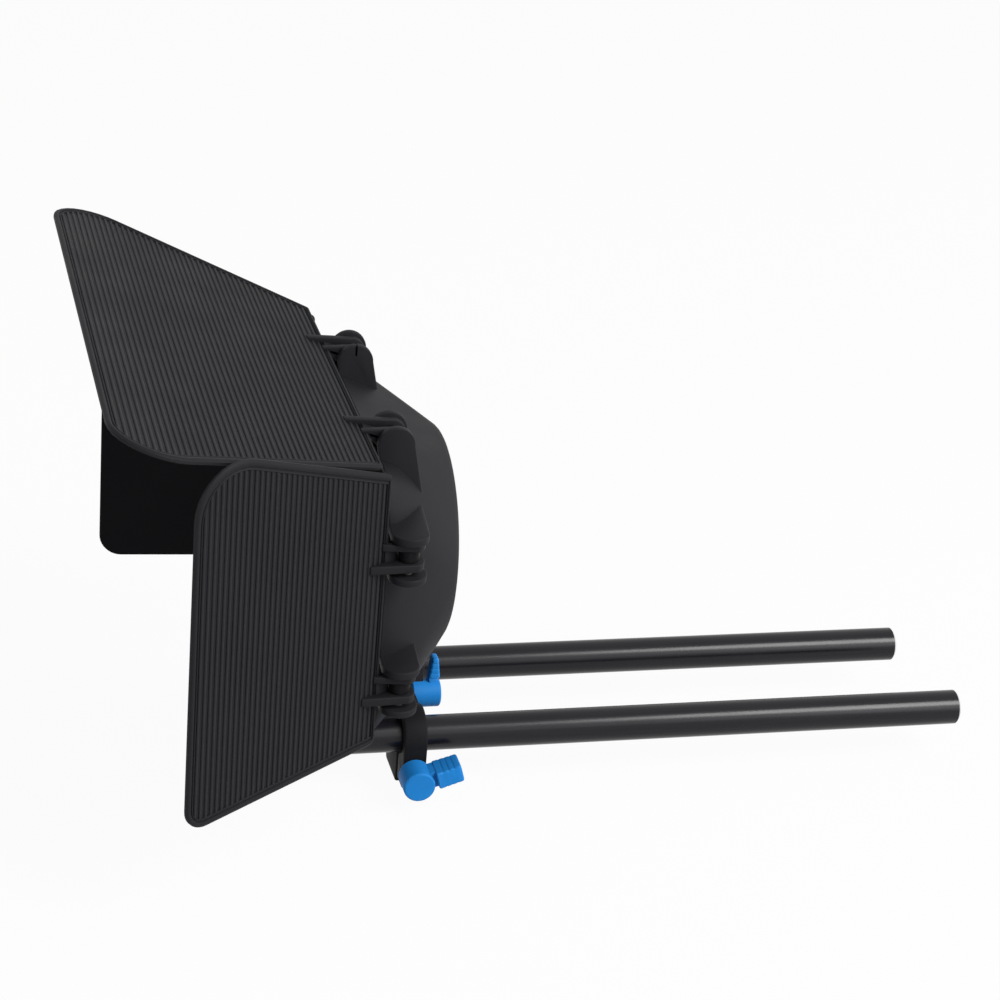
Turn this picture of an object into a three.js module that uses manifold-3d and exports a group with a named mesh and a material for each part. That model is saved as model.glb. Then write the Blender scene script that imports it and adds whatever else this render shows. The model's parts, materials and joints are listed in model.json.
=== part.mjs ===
// Matte box on a pair of support rods: a flared housing with three ribbed flags on forked hinges, screwed
// through a slotted plate to a bridge that clamps the rods.
// Millimetres. +X points to the operator's left, +Y rearward along the rods, +Z up. The origin lies midway
// between the rod axes, in the plane of the bridge's front face.
import * as THREE from 'three';
import { mergeVertices } from 'three/addons/utils/BufferGeometryUtils.js';
import Module from 'manifold-3d';

// Fits shared by all pieces
const gap = 0.3; // air between neighbours that turn, slide or are cut to fit
const overrun = 2; // how far a cut runs past the face it opens
const roundSides = 28; // sides of a large round
const smallSides = 16; // sides of a pin or screw

// Rods
const rodDiameter = 15;
const rodSpacing = 60;
const rodLength = 300;
const rodChamfer = 0.8;
const leftRodRear = 252.3; // how far each rod reaches behind the bridge's front face
const rightRodRear = 245.3;

// Rod bridge
const bridgeDepth = 9.8;
const bridgeChamfer = 1.2;
const ringWall = 4.7; // clamp ring round the rod's bore
const barHeight = 15;
const lockHeight = 2.5; // height lock's axis above the rod axes, and the bar's centre
const lugDrop = 24; // inner lug's lower face below the rod axes
const outerLugDrop = 20;
const lugParting = 16; // space between the two inner lugs
const lugCornerRadius = 2;
const clampSlit = 2.5;
const clampDrop = 11.3; // clamp screw's axis below the rod axis
const clampSetback = 4.4; // clamp screw's axis behind the front face

// Clamp screws and their bushes
const clampThread = 4;
const insertLength = 9;
const insertWall = 0.9;
const washerThickness = 0.8;
const clampWasherDiameter = 9;
const studTipMargin = 1; // stud's tip short of the bush's inner end

// Knobs
const knobHubEdge = 1;
const knobBoreDepth = 9;
const wingRoot = 8; // where the wing's thick pad starts
const wingEdge = 0.6;
const wingCornerRadius = 1.2;
// Reach is from the knob's axis to the wing's tip. Along the axis from the hub's foot: the hub's end, the
// wing's edges at its root and its tip, and the neck's edges
const clampKnobForm = {
  hubDiameter: 13.5, hubEnd: 12, reach: 19, thickness: 7.8, root: [0.6, 12], tip: [0.6, 11.2],
  neckThickness: 7.2, neck: [1.2, 9.6],
};
const lockKnobForm = {
  hubDiameter: 12.6, hubEnd: 12.5, reach: 17.6, thickness: 6, root: [7.2, 12], tip: [8.3, 10.9],
  neckThickness: 5, neck: [7.2, 11],
};
const gripGrooveWidth = 1;
const gripGrooveDepth = 0.4;
const gripGroovePitch = 2.4;
const gripGrooves = 3;
const clampWingAngle = 16.5; // degrees above the rods' direction

// Height lock
const lockThread = 5;
const lockHeadAcross = 8;
const lockHeadHeight = 3.5;
const lockWasherDiameter = 11;

// Slotted plate and its screws
const plateWidth = 24;
const plateThickness = 4;
const plateTop = 26.8;
const plateBottom = 17; // below the rod axes
const plateCornerRadius = 3;
const plateSlotWidth = 5.6;
const plateSlotTop = 11.25;
const plateSlotBottom = 12.25; // below the rod axes
const screwDiameter = 2.8;
const screwLength = 8;
const screwHeadDiameter = 5.4;
const screwHeadHeight = 1.8;
const screwSpacing = 14;
const screwHeight = 22.4;

// Housing: a bell, rounded rectangle in front and round behind
const lensHeight = 80.4; // lens axis above the rod axes
const bellFront = 22; // front rim ahead of the bridge's front face
const bellDepth = 38.5;
const bellHalfWidth = 78.35;
const bellHalfHeight = 58.1;
const bellFrontCorner = 14.5;
const bellRearRadius = 43.7;
const bellRearFlat = 0.5; // half of the short straight left in the round rear ring
const bellWidthPower = 1.43; // how late the width narrows towards the rear
const bellHeightPower = 0.92;
const bellCornerPower = 0.72; // how early the corners grow round
const bellWall = 2.6;
const bellRearFlange = 2.5;
const lensHoleDiameter = 78;
const bellStations = 9; // rings from front to rear
const bellCornerSteps = 7;

// Foot under the bell
const footHalfWidth = 17.5;
const footBottom = 17.5;
const footWall = 5;
const footCheek = 3;
const footCheekRear = 12;
const footRise = 38; // top of the foot's blocks, inside the bell's wall

// Hinges: pins stand off the bell's rim, in a fin and a thinner ear moulded on the bell
const pinDiameter = 4;
const sleeveDiameter = 8.4;
const topPinStandoff = 5.7;
const topPinSetback = 6.3; // behind the bell's front rim
const sidePinStandoff = 6.75;
const sidePinSetback = 7.3;
const finRadius = 7.5;
const finThickness = 3.2;
const finDepth = 24; // fin's root below the pin
const topFinFlareShare = 0.2; // rearward spread per unit of depth
const sideFinFlareShare = 0.09;
const finBlind = 1.2; // skin left over the pin's end
const finSlitWidth = 1;
const earThickness = 2.8;
const armRadius = 6.2;
const thinArmWidth = 2.8;
const hingeColumn = 5.2; // between the two fork arms
const bladeArmWidth = 3.4;
const topEarGap = 1;
const sideEarGap = 2.3;
const armGap = 0.4;
const bladeReach = 8.5; // blade's root ahead of the flag's rear edge
const bladeTipHeight = 0.4;
const tabLength = 4.5;
const topFinFaces = [56.5, -29.9]; // X of the outer faces of the top flag's fins
const sideFinFaces = [40.7, -16.6]; // upper faces of a side flag's fins above the lens axis

// Flags
const flagThickness = 2.2;
const flagRearChamfer = 1.5;
const ribPitch = 2.5;
const ribGrooveWidth = 1.15;
const ribGrooveDepth = 0.8;
const panelRecess = 0.3;
const topFlagTilt = 17.2; // degrees above level at rest
const topFlagRearEdge = 11.5; // ahead of the pin
const topFlagLength = 112;
const topFlagRearWidth = 168.2;
const topFlagFrontWidth = 288.3;
const topFlagOffset = 0.85; // outer face from the pin's axis
const leftFlagSplay = 29.6; // degrees outward at rest
const rightFlagSplay = 15.5;
const sideFlagRearEdge = 8.2;
const sideFlagLength = 91.9;
const sideFlagOffset = -2.9;
const sideFlagRearTop = 65.4; // above the lens axis
const sideFlagRearBottom = -51;
const sideFlagFrontTop = 96.5;
const sideFlagFrontBottom = -59.9;
const flagCornerRadius = 20; // the wide front corners
const flagLowCornerRadius = 9; // a side flag's lower front corner
const flagRearCornerRadius = 2.5;
const topFlagRimFront = 3;
const sideFlagRimFront = 4.5;
const flagRimSide = 4;
const flagRimRear = 1.5;
const underflagGap = 0.8; // right flag's top edge below the top flag

const plastic = { color: 0x2f2f32, roughness: 0.62, metalness: 0 };
const blue = { color: 0x1e86d8, roughness: 0.42, metalness: 0 };
const anodised = { color: 0x2a2a2d, roughness: 0.35, metalness: 0.6 };
const steel = { color: 0x5c5d60, roughness: 0.4, metalness: 0.9 };
const brass = { color: 0xb08d4a, roughness: 0.4, metalness: 0.9 };
const bearing = { color: 0x1d1d1f, roughness: 0.8, metalness: 0 };

const wasm = await Module();
wasm.setup();

const acrossX = new THREE.Vector3(1, 0, 0);
const alongY = new THREE.Vector3(0, 1, 0);
const upZ = new THREE.Vector3(0, 0, 1);
const origin = new THREE.Vector3(0, 0, 0);

// Solids

function solidOf(geometry) {
  const bare = geometry.clone();
  bare.deleteAttribute('normal');
  bare.deleteAttribute('uv');
  const welded = mergeVertices(bare);
  return new wasm.Manifold(new wasm.Mesh({
    numProp: 3,
    vertProperties: new Float32Array(welded.attributes.position.array),
    triVerts: new Uint32Array(welded.index.array),
  }));
}

function geometryOf(solid) {
  const mesh = solid.getMesh();
  const geometry = new THREE.BufferGeometry();
  geometry.setAttribute('position', new THREE.BufferAttribute(mesh.vertProperties, 3));
  geometry.setIndex(new THREE.BufferAttribute(mesh.triVerts, 1));
  geometry.computeVertexNormals();
  return geometry;
}

// A copy of a geometry under a matrix. A mirroring matrix turns the faces round, so they are turned back.
function placed(geometry, matrix) {
  const copy = geometry.index ? geometry.toNonIndexed() : geometry.clone();
  copy.applyMatrix4(matrix);
  if (matrix.determinant() < 0) {
    const position = copy.attributes.position;
    for (let corner = 0; corner < position.count; corner += 3) {
      const first = new THREE.Vector3().fromBufferAttribute(position, corner);
      const second = new THREE.Vector3().fromBufferAttribute(position, corner + 1);
      position.setXYZ(corner, second.x, second.y, second.z);
      position.setXYZ(corner + 1, first.x, first.y, first.z);
    }
  }
  return copy;
}

function frameAt(x, y, z, place = origin) {
  return new THREE.Matrix4().makeBasis(x, y, z).setPosition(place);
}

function block(low, high) {
  const size = high.map((value, axis) => value - low[axis]);
  const geometry = new THREE.BoxGeometry(...size);
  geometry.translate(...low.map((value, axis) => value + size[axis] / 2));
  return solidOf(geometry);
}

// A round bar along Y between two places, centred at (x, z)
function barAlongY(radius, from, to, x = 0, z = 0, sides = smallSides) {
  const geometry = new THREE.CylinderGeometry(radius, radius, to - from, sides);
  geometry.translate(x, (from + to) / 2, z);
  return solidOf(geometry);
}

// A ring about the Y axis
function ringGeometry(innerRadius, outerRadius, from, to, sides = smallSides) {
  const profile = [
    [innerRadius, from], [outerRadius, from], [outerRadius, to], [innerRadius, to], [innerRadius, from],
  ].map(([radius, height]) => new THREE.Vector2(radius, height));
  return new THREE.LatheGeometry(profile, sides);
}

// Outlines

// Straight edges joined by arcs: each corner is [x, y, radius]
function roundedPath(corners, steps = 8) {
  const points = [];
  corners.forEach(([x, y, radius], index) => {
    const here = new THREE.Vector2(x, y);
    const before = corners.at(index - 1);
    const after = corners[(index + 1) % corners.length];
    const toBefore = new THREE.Vector2(before[0], before[1]).sub(here).normalize();
    const toAfter = new THREE.Vector2(after[0], after[1]).sub(here).normalize();
    if (radius === 0) {
      points.push(here);
      return;
    }
    const halfAngle = Math.acos(THREE.MathUtils.clamp(toBefore.dot(toAfter), -1, 1)) / 2;
    const middle = toBefore.clone().add(toAfter).normalize();
    const centre = here.clone().addScaledVector(middle, radius / Math.sin(halfAngle));
    const touch = radius / Math.tan(halfAngle);
    const first = here.clone().addScaledVector(toBefore, touch).sub(centre);
    const last = here.clone().addScaledVector(toAfter, touch).sub(centre);
    const sweep = Math.atan2(first.cross(last), first.dot(last));
    for (let step = 0; step <= steps; step += 1) {
      points.push(first.clone().rotateAround(new THREE.Vector2(), (sweep * step) / steps).add(centre));
    }
  });
  return points;
}

// Points of an arc about a centre, from one angle to another, both in degrees
function arcPoints(x, y, radius, fromDegrees, toDegrees, steps) {
  return Array.from({ length: steps + 1 }, (_, step) => {
    const angle = THREE.MathUtils.degToRad(fromDegrees + ((toDegrees - fromDegrees) * step) / steps);
    return new THREE.Vector2(x + radius * Math.cos(angle), y + radius * Math.sin(angle));
  });
}

// The corners of a convex outline moved inward, each edge by its own margin
function insetCorners(corners, margins, radii) {
  const lines = corners.map(([x, y], index) => {
    const [nextX, nextY] = corners[(index + 1) % corners.length];
    const direction = new THREE.Vector2(nextX - x, nextY - y).normalize();
    const inward = new THREE.Vector2(-direction.y, direction.x);
    return { point: new THREE.Vector2(x, y).addScaledVector(inward, margins[index]), direction };
  });
  return lines.map((line, index) => {
    const before = lines.at(index - 1);
    const offset = line.point.clone().sub(before.point);
    const along = offset.cross(line.direction) / before.direction.cross(line.direction);
    const corner = before.point.clone().addScaledVector(before.direction, along);
    return [corner.x, corner.y, radii[index]];
  });
}

// An outline drawn in the XZ plane and given depth along Y
function slabAlongY(points, from, to, bevel = 0, holes = []) {
  const shape = new THREE.Shape(points);
  shape.holes = holes.map((hole) => new THREE.Path(hole));
  const geometry = new THREE.ExtrudeGeometry(shape, {
    depth: to - from - 2 * bevel,
    bevelEnabled: bevel > 0,
    bevelSize: bevel,
    bevelThickness: bevel,
    bevelOffset: -bevel,
    bevelSegments: 1,
    curveSegments: roundSides,
  });
  geometry.translate(0, 0, from + bevel);
  return solidOf(placed(geometry, frameAt(acrossX, upZ, alongY)));
}

// An outline drawn in the XY plane and given depth along Z
function slabAlongZ(points, from, to) {
  const geometry = new THREE.ExtrudeGeometry(new THREE.Shape(points), { depth: to - from, bevelEnabled: false });
  geometry.translate(0, 0, from);
  return solidOf(geometry);
}

function union(solids) {
  return solids.reduce((sum, solid) => sum.add(solid));
}

function meshOf(name, shape, look) {
  const geometry = shape instanceof THREE.BufferGeometry ? shape : geometryOf(shape);
  const mesh = new THREE.Mesh(geometry, new THREE.MeshStandardMaterial(look));
  mesh.name = name;
  return mesh;
}

// Rods

function rodMesh(name, side, rear) {
  const radius = rodDiameter / 2;
  const profile = [
    [0, -rodLength], [radius - rodChamfer, -rodLength], [radius, rodChamfer - rodLength],
    [radius, -rodChamfer], [radius - rodChamfer, 0], [0, 0],
  ].map(([across, along]) => new THREE.Vector2(across, along));
  const rod = meshOf(name, new THREE.LatheGeometry(profile, roundSides), anodised);
  rod.position.set((side * rodSpacing) / 2, rear, 0);
  return rod;
}

// Rod bridge: split rings and lugs round both rods, joined by a bar, in one outline

const rodAxis = rodSpacing / 2;
const boreRadius = rodDiameter / 2 + gap;
const ringRadius = boreRadius + ringWall;
const lugFace = rodAxis + ringRadius;
const barTop = lockHeight + barHeight / 2;
const barBottom = lockHeight - barHeight / 2;

function bridgeOutline() {
  const degrees = THREE.MathUtils.radToDeg;
  const barMeets = 180 - degrees(Math.asin(barTop / ringRadius));
  const slitMeets = degrees(Math.asin(clampSlit / 2 / boreRadius));
  const lugEnd = roundedPath([
    [lugFace, 0, 0], [lugFace, -outerLugDrop, lugCornerRadius],
    [rodAxis + clampSlit / 2, -outerLugDrop, 0],
  ], 4).slice(1);
  const innerLug = roundedPath([
    [rodAxis - clampSlit / 2, -lugDrop, 0], [lugParting / 2, -lugDrop, lugCornerRadius],
    [lugParting / 2, barBottom, 0],
  ], 4);
  const half = [
    ...arcPoints(rodAxis, 0, ringRadius, barMeets, 0, 12),
    ...lugEnd,
    ...arcPoints(rodAxis, 0, boreRadius, slitMeets - 90, 270 - slitMeets, roundSides),
    ...innerLug,
  ];
  const mirrored = half.map(({ x, y }) => new THREE.Vector2(-x, y)).reverse();
  return [...half, ...mirrored];
}

function bridgeMesh() {
  const lockHole = arcPoints(0, lockHeight, lockThread / 2 + gap, 0, 360 - 360 / smallSides, smallSides - 1);
  const body = slabAlongY(bridgeOutline(), 0, bridgeDepth, bridgeChamfer, [lockHole]);
  const screwHole = clampCut(clampThread / 2 + gap, lugParting / 2 - overrun, lugFace + overrun);
  const insertSeat = clampCut(insertRadius + gap, lugParting / 2 - overrun, lugParting / 2 + insertLength + gap);
  const cuts = [screwHole, insertSeat].flatMap((cut) => [cut, mirroredAcross(cut)]);
  return meshOf('rod_bridge', body.subtract(union(cuts)), plastic);
}

const insertRadius = clampThread / 2 + gap + insertWall;
const clampPlace = [clampSetback, -clampDrop];

// A round tool along X on the left clamp's axis
function clampCut(radius, from, to) {
  const geometry = new THREE.CylinderGeometry(radius, radius, to - from, smallSides);
  geometry.translate(0, (from + to) / 2, 0);
  const place = new THREE.Vector3(0, ...clampPlace);
  return solidOf(placed(geometry, frameAt(alongY.clone().negate(), acrossX, upZ, place)));
}

function mirroredAcross(solid) {
  const flipped = placed(geometryOf(solid), new THREE.Matrix4().makeScale(-1, 1, 1));
  return solidOf(flipped);
}

// Knobs: a hub about the local Y axis with one wing towards local Z

function knobHub(form) {
  const hubRadius = form.hubDiameter / 2;
  const profile = [
    new THREE.Vector2(0, 0),
    new THREE.Vector2(hubRadius - knobHubEdge / 2, 0),
    new THREE.Vector2(hubRadius, knobHubEdge / 2),
    ...arcPoints(hubRadius - knobHubEdge, form.hubEnd - knobHubEdge, knobHubEdge, 0, 90, 3),
    new THREE.Vector2(0, form.hubEnd),
  ];
  return solidOf(new THREE.LatheGeometry(profile, roundSides));
}

function knobWing(form) {
  const outline = roundedPath([
    [wingRoot, form.root[0], 0], [form.reach, form.tip[0], wingCornerRadius],
    [form.reach, form.tip[1], wingCornerRadius], [wingRoot, form.root[1], 0],
  ], 4);
  const geometry = new THREE.ExtrudeGeometry(new THREE.Shape(outline), {
    depth: form.thickness - 2 * wingEdge,
    bevelSize: wingEdge,
    bevelThickness: wingEdge,
    bevelOffset: -wingEdge,
    bevelSegments: 1,
  });
  geometry.translate(0, 0, wingEdge - form.thickness / 2);
  return solidOf(placed(geometry, frameAt(upZ, alongY, acrossX)));
}

function gripCut(form, index, face) {
  const middle = (wingRoot + form.reach) / 2 + (index - (gripGrooves - 1) / 2) * gripGroovePitch;
  const floor = form.thickness / 2 - gripGrooveDepth;
  const sides = [face * floor, face * (floor + overrun)].sort((a, b) => a - b);
  return block(
    [sides[0], -overrun, middle - gripGrooveWidth / 2],
    [sides[1], form.reach, middle + gripGrooveWidth / 2],
  );
}

function knobSolid(form, thread) {
  const neck = block(
    [-form.neckThickness / 2, form.neck[0], 0],
    [form.neckThickness / 2, form.neck[1], wingRoot + wingEdge],
  );
  const bore = barAlongY(thread / 2 + gap, -overrun, knobBoreDepth);
  const grooves = [];
  for (let index = 0; index < gripGrooves; index += 1) {
    grooves.push(gripCut(form, index, -1), gripCut(form, index, 1));
  }
  return union([knobHub(form), knobWing(form), neck]).subtract(union([bore, ...grooves]));
}

// One clamp: knob, moulded-in stud, washer and threaded bush, about the clamp's axis
function clampGroup(name, side) {
  const group = new THREE.Group();
  const outward = acrossX.clone().multiplyScalar(side);
  const wingAngle = THREE.MathUtils.degToRad(clampWingAngle);
  const wing = new THREE.Vector3(0, Math.cos(wingAngle), Math.sin(wingAngle));
  const across = new THREE.Vector3().crossVectors(outward, wing);
  group.setRotationFromMatrix(frameAt(across, outward, wing));
  group.position.set(0, ...clampPlace);
  const knobFoot = lugFace + washerThickness + gap;
  const knob = meshOf(`clamp_knob_${name}`, knobSolid(clampKnobForm, clampThread), blue);
  knob.position.y = knobFoot;
  const studFrom = lugParting / 2 + studTipMargin;
  const studTo = knobFoot + knobBoreDepth - gap;
  const stud = meshOf(`clamp_stud_${name}`, barAlongY(clampThread / 2, studFrom, studTo), steel);
  const washerBore = clampThread / 2 + gap;
  const washer = meshOf(
    `clamp_washer_${name}`,
    ringGeometry(washerBore, clampWasherDiameter / 2, lugFace, lugFace + washerThickness),
    steel,
  );
  const insertFrom = lugParting / 2;
  const insert = meshOf(
    `clamp_insert_${name}`,
    ringGeometry(washerBore, insertRadius, insertFrom, insertFrom + insertLength),
    brass,
  );
  group.add(knob, stud, washer, insert);
  return group;
}

// Height lock: bolt through the plate's slot and the bar, washer and knob behind

function heightLockGroup() {
  const group = new THREE.Group();
  group.position.z = lockHeight;
  const washerFrom = bridgeDepth;
  const knobFoot = bridgeDepth + washerThickness + gap;
  const headRear = -gap - plateThickness - gap;
  const headRadius = lockHeadAcross / 2 / Math.cos(Math.PI / 6);
  const head = barAlongY(headRadius, headRear - lockHeadHeight, headRear, 0, 0, 6);
  const shank = barAlongY(lockThread / 2, headRear - lockHeadHeight / 2, knobFoot + knobBoreDepth - gap);
  const bolt = meshOf('height_lock_bolt', head.add(shank), steel);
  const washer = meshOf(
    'height_washer',
    ringGeometry(lockThread / 2 + gap, lockWasherDiameter / 2, washerFrom, washerFrom + washerThickness),
    steel,
  );
  const knob = meshOf('height_knob', knobSolid(lockKnobForm, lockThread), blue);
  knob.position.y = knobFoot;
  group.add(bolt, washer, knob);
  return group;
}

// Slotted plate and its screws

function plateMesh() {
  const half = plateWidth / 2;
  const outline = roundedPath([
    [-half, -plateBottom, plateCornerRadius], [half, -plateBottom, plateCornerRadius],
    [half, plateTop, 0], [-half, plateTop, 0],
  ], 4);
  const slotHalf = plateSlotWidth / 2;
  const slot = [
    ...arcPoints(0, plateSlotTop - slotHalf, slotHalf, 0, 180, 10),
    ...arcPoints(0, slotHalf - plateSlotBottom, slotHalf, 180, 360, 10),
  ];
  const body = slabAlongY(outline, -gap - plateThickness, -gap, 0, [slot]);
  return meshOf('slotted_plate', body.subtract(union(screwHoles())), steel);
}

// Round cuts for both screws, through the plate and into the foot
function screwHoles() {
  const from = -plateThickness - overrun;
  const to = screwLength - plateThickness;
  return [-1, 1].map((side) => (
    barAlongY(screwDiameter / 2 + gap, from, to, (side * screwSpacing) / 2, screwHeight)
  ));
}

function plateScrewMesh(name, side) {
  const front = -gap - plateThickness;
  const head = barAlongY(screwHeadDiameter / 2, front - screwHeadHeight, front);
  const shank = barAlongY(screwDiameter / 2, front - screwHeadHeight / 2, front + screwLength);
  const screw = meshOf(`plate_screw_${name}`, head.add(shank), steel);
  screw.position.set((side * screwSpacing) / 2, 0, screwHeight);
  return screw;
}

// Bell housing, drawn about the lens axis

// Half width, half height and corner radius at a share of the depth from the front rim
function bellSection(share) {
  const flare = bellHalfWidth - bellRearRadius;
  const rise = bellHalfHeight - bellRearRadius;
  return {
    halfWidth: bellRearRadius + flare * (1 - share ** bellWidthPower),
    halfHeight: bellRearRadius + rise * (1 - share ** bellHeightPower),
    corner: bellFrontCorner + (bellRearRadius - bellRearFlat - bellFrontCorner) * share ** bellCornerPower,
  };
}

function bellRing(share, y, inset) {
  const { halfWidth, halfHeight, corner } = bellSection(share);
  const width = halfWidth - inset;
  const height = halfHeight - inset;
  const outline = roundedPath([
    [width, -height, corner - inset], [width, height, corner - inset],
    [-width, height, corner - inset], [-width, -height, corner - inset],
  ], bellCornerSteps);
  return outline.map((point) => new THREE.Vector3(point.x, y, point.y));
}

// A closed skin through rings of equal counts, capped at both ends
function loft(rings) {
  const count = rings[0].length;
  const positions = rings.flat().flatMap(({ x, y, z }) => [x, y, z]);
  const faces = [];
  for (let ring = 0; ring + 1 < rings.length; ring += 1) {
    for (let step = 0; step < count; step += 1) {
      const next = (step + 1) % count;
      const here = ring * count;
      const there = here + count;
      faces.push(here + step, here + next, there + step);
      faces.push(here + next, there + next, there + step);
    }
  }
  const last = (rings.length - 1) * count;
  for (let step = 1; step + 1 < count; step += 1) {
    faces.push(0, step + 1, step);
    faces.push(last, last + step, last + step + 1);
  }
  const geometry = new THREE.BufferGeometry();
  geometry.setAttribute('position', new THREE.Float32BufferAttribute(positions, 3));
  geometry.setIndex(faces);
  return turnedOutward(geometry);
}

// Faces turned to point out, judged by the sign of the enclosed volume
function turnedOutward(geometry) {
  const { position } = geometry.attributes;
  const faces = Array.from(geometry.index.array);
  let volume = 0;
  for (let face = 0; face < faces.length; face += 3) {
    const [a, b, c] = faces.slice(face, face + 3).map((index) => (
      new THREE.Vector3().fromBufferAttribute(position, index)
    ));
    volume += a.dot(b.cross(c));
  }
  if (volume < 0) {
    geometry.setIndex(faces.reverse());
  }
  return solidOf(geometry);
}

function bellSkin(inset, lead, rearTrim) {
  const rings = [];
  if (lead > 0) {
    rings.push(bellRing(0, -bellFront - lead, inset));
  }
  const lastShare = 1 - rearTrim / bellDepth;
  for (let station = 0; station < bellStations; station += 1) {
    const share = (lastShare * station) / (bellStations - 1);
    rings.push(bellRing(share, share * bellDepth - bellFront, inset));
  }
  return loft(rings);
}

// Foot under the bell: a front wall that the plate is screwed to, and a cheek at each side
function footSolid() {
  const low = footBottom - lensHeight;
  const high = footRise - lensHeight;
  const wall = block([-footHalfWidth, -gap, low], [footHalfWidth, footWall - gap, high]);
  const cheeks = [-1, 1].map((side) => {
    const edges = [side * footHalfWidth, side * (footHalfWidth - footCheek)].sort((a, b) => a - b);
    return block([edges[0], -gap, low], [edges[1], footCheekRear, high]);
  });
  return union([wall, ...cheeks]);
}

// Hinges. Each hinge line has its own space: X ahead of the pin, Y along the pin, Z outward.

// Stack along each pin, measured from the fin's outer face towards the ear
const thinArmFrom = finThickness + armGap;
const thinArmTo = thinArmFrom + thinArmWidth;
const bladeArmFrom = thinArmTo + hingeColumn;
const bladeArmTo = bladeArmFrom + bladeArmWidth;

function hingeLine(name, pin, ahead, along, outward, stacks, towardsEar, forms) {
  const matrix = frameAt(ahead, along, outward, pin);
  const earFrom = bladeArmTo + forms.earGap;
  return { name, pin, matrix, stacks, towardsEar, earFrom, earTo: earFrom + earThickness, ...forms };
}

const aheadY = alongY.clone().negate();
const pinRadius = pinDiameter / 2;
const topPin = new THREE.Vector3(0, topPinSetback - bellFront, bellHalfHeight + topPinStandoff);
const sidePinX = bellHalfWidth + sidePinStandoff;
const sidePinY = sidePinSetback - bellFront;
const leftPin = new THREE.Vector3(sidePinX, sidePinY, 0);
const rightPin = new THREE.Vector3(-sidePinX, sidePinY, 0);
const downZ = upZ.clone().negate();
const outRight = acrossX.clone().negate();
const sideStacksDown = sideFinFaces.map((face) => -face);
const topForms = { setback: topPinSetback, flareShare: topFinFlareShare, earGap: topEarGap };
const sideForms = { setback: sidePinSetback, flareShare: sideFinFlareShare, earGap: sideEarGap };
const topLine = hingeLine('top', topPin, aheadY, acrossX, upZ, topFinFaces, -1, topForms);
const leftLine = hingeLine('left', leftPin, aheadY, downZ, acrossX, sideStacksDown, 1, sideForms);
const rightLine = hingeLine('right', rightPin, aheadY, upZ, outRight, sideFinFaces, -1, sideForms);
const hingeLines = [topLine, leftLine, rightLine];

// A span of the stack as two ordered places along the pin
function stackSpan(line, face, from, to) {
  return [face + line.towardsEar * from, face + line.towardsEar * to].sort((a, b) => a - b);
}

function finPoints(setback, flareShare) {
  const root = -finRadius - flareShare * finDepth;
  return [
    ...arcPoints(0, 0, finRadius, 0, 180, 10),
    new THREE.Vector2(root, -finDepth),
    new THREE.Vector2(setback, -finDepth),
    new THREE.Vector2(setback, -finRadius),
  ];
}

function earPoints(setback) {
  return [
    ...arcPoints(0, 0, finRadius, 0, 180, 10),
    new THREE.Vector2(-finRadius, -finDepth),
    new THREE.Vector2(setback, -finDepth),
    new THREE.Vector2(setback, -finRadius),
  ];
}

// Fin and ear of each hinge, in the bell's space
function hingeBrackets(line) {
  return line.stacks.flatMap((face) => {
    const [finLow, finHigh] = stackSpan(line, face, 0, finThickness);
    const [earLow, earHigh] = stackSpan(line, face, line.earFrom, line.earTo);
    const fin = slabAlongY(finPoints(line.setback, line.flareShare), finLow, finHigh);
    const ear = slabAlongY(earPoints(line.setback), earLow, earHigh);
    return [fin, ear].map((solid) => solidOf(placed(geometryOf(solid), line.matrix)));
  });
}

// The pins' holes: blind in the fin, through the ear
function pinHoles(line) {
  return line.stacks.map((face) => {
    const [low, high] = stackSpan(line, face, finBlind, line.earTo + overrun);
    const hole = barAlongY(pinRadius + gap, low, high);
    return solidOf(placed(geometryOf(hole), line.matrix));
  });
}

// A slit from the far top fin's crown to its pin
function finSlit() {
  const [low, high] = stackSpan(topLine, topFinFaces[1], -overrun, finThickness + armGap / 2);
  const slit = block([-finSlitWidth / 2, low, 0], [finSlitWidth / 2, high, finRadius + overrun]);
  return solidOf(placed(geometryOf(slit), topLine.matrix));
}

function bellMesh() {
  const brackets = hingeLines.flatMap(hingeBrackets);
  const outside = union([bellSkin(0, 0, 0), footSolid(), ...brackets]);
  const cavity = bellSkin(bellWall, overrun, bellRearFlange);
  const lensHole = barAlongY(lensHoleDiameter / 2, 0, bellDepth, 0, 0, roundSides + roundSides / 2);
  const lowered = new THREE.Matrix4().makeTranslation(0, 0, -lensHeight);
  const screwCuts = screwHoles().map((hole) => solidOf(placed(geometryOf(hole), lowered)));
  const cuts = [cavity, lensHole, finSlit(), ...screwCuts, ...hingeLines.flatMap(pinHoles)];
  return meshOf('bell_housing', outside.subtract(union(cuts)), plastic);
}

// Pins and sleeves of one hinge line, as children of its group
function pinMeshes(line, labels) {
  return line.stacks.flatMap((face, index) => {
    const [pinLow, pinHigh] = stackSpan(line, face, finBlind + gap, line.earTo);
    const [sleeveLow, sleeveHigh] = stackSpan(line, face, thinArmTo + gap, bladeArmFrom - gap);
    const name = `${line.name}_hinge_pin_${labels[index]}`;
    const pin = meshOf(name, barAlongY(pinRadius, pinLow, pinHigh), steel);
    const sleeve = meshOf(
      `${line.name}_hinge_sleeve_${labels[index]}`,
      ringGeometry(pinRadius + gap, sleeveDiameter / 2, sleeveLow, sleeveHigh),
      bearing,
    );
    return [pin, sleeve];
  });
}

// Flags, drawn in the hinge line's space with the outer face at the flag's offset

function armPoints(rearEdge, offset, reach) {
  const inner = offset - flagThickness;
  return [
    ...arcPoints(0, 0, armRadius, 90, 295, 12),
    new THREE.Vector2(rearEdge, inner + flagRearChamfer),
    new THREE.Vector2(rearEdge + flagRearChamfer, inner),
    new THREE.Vector2(rearEdge + reach, offset - flagThickness / 2),
    new THREE.Vector2(rearEdge + reach, offset + bladeTipHeight),
  ];
}

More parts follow.
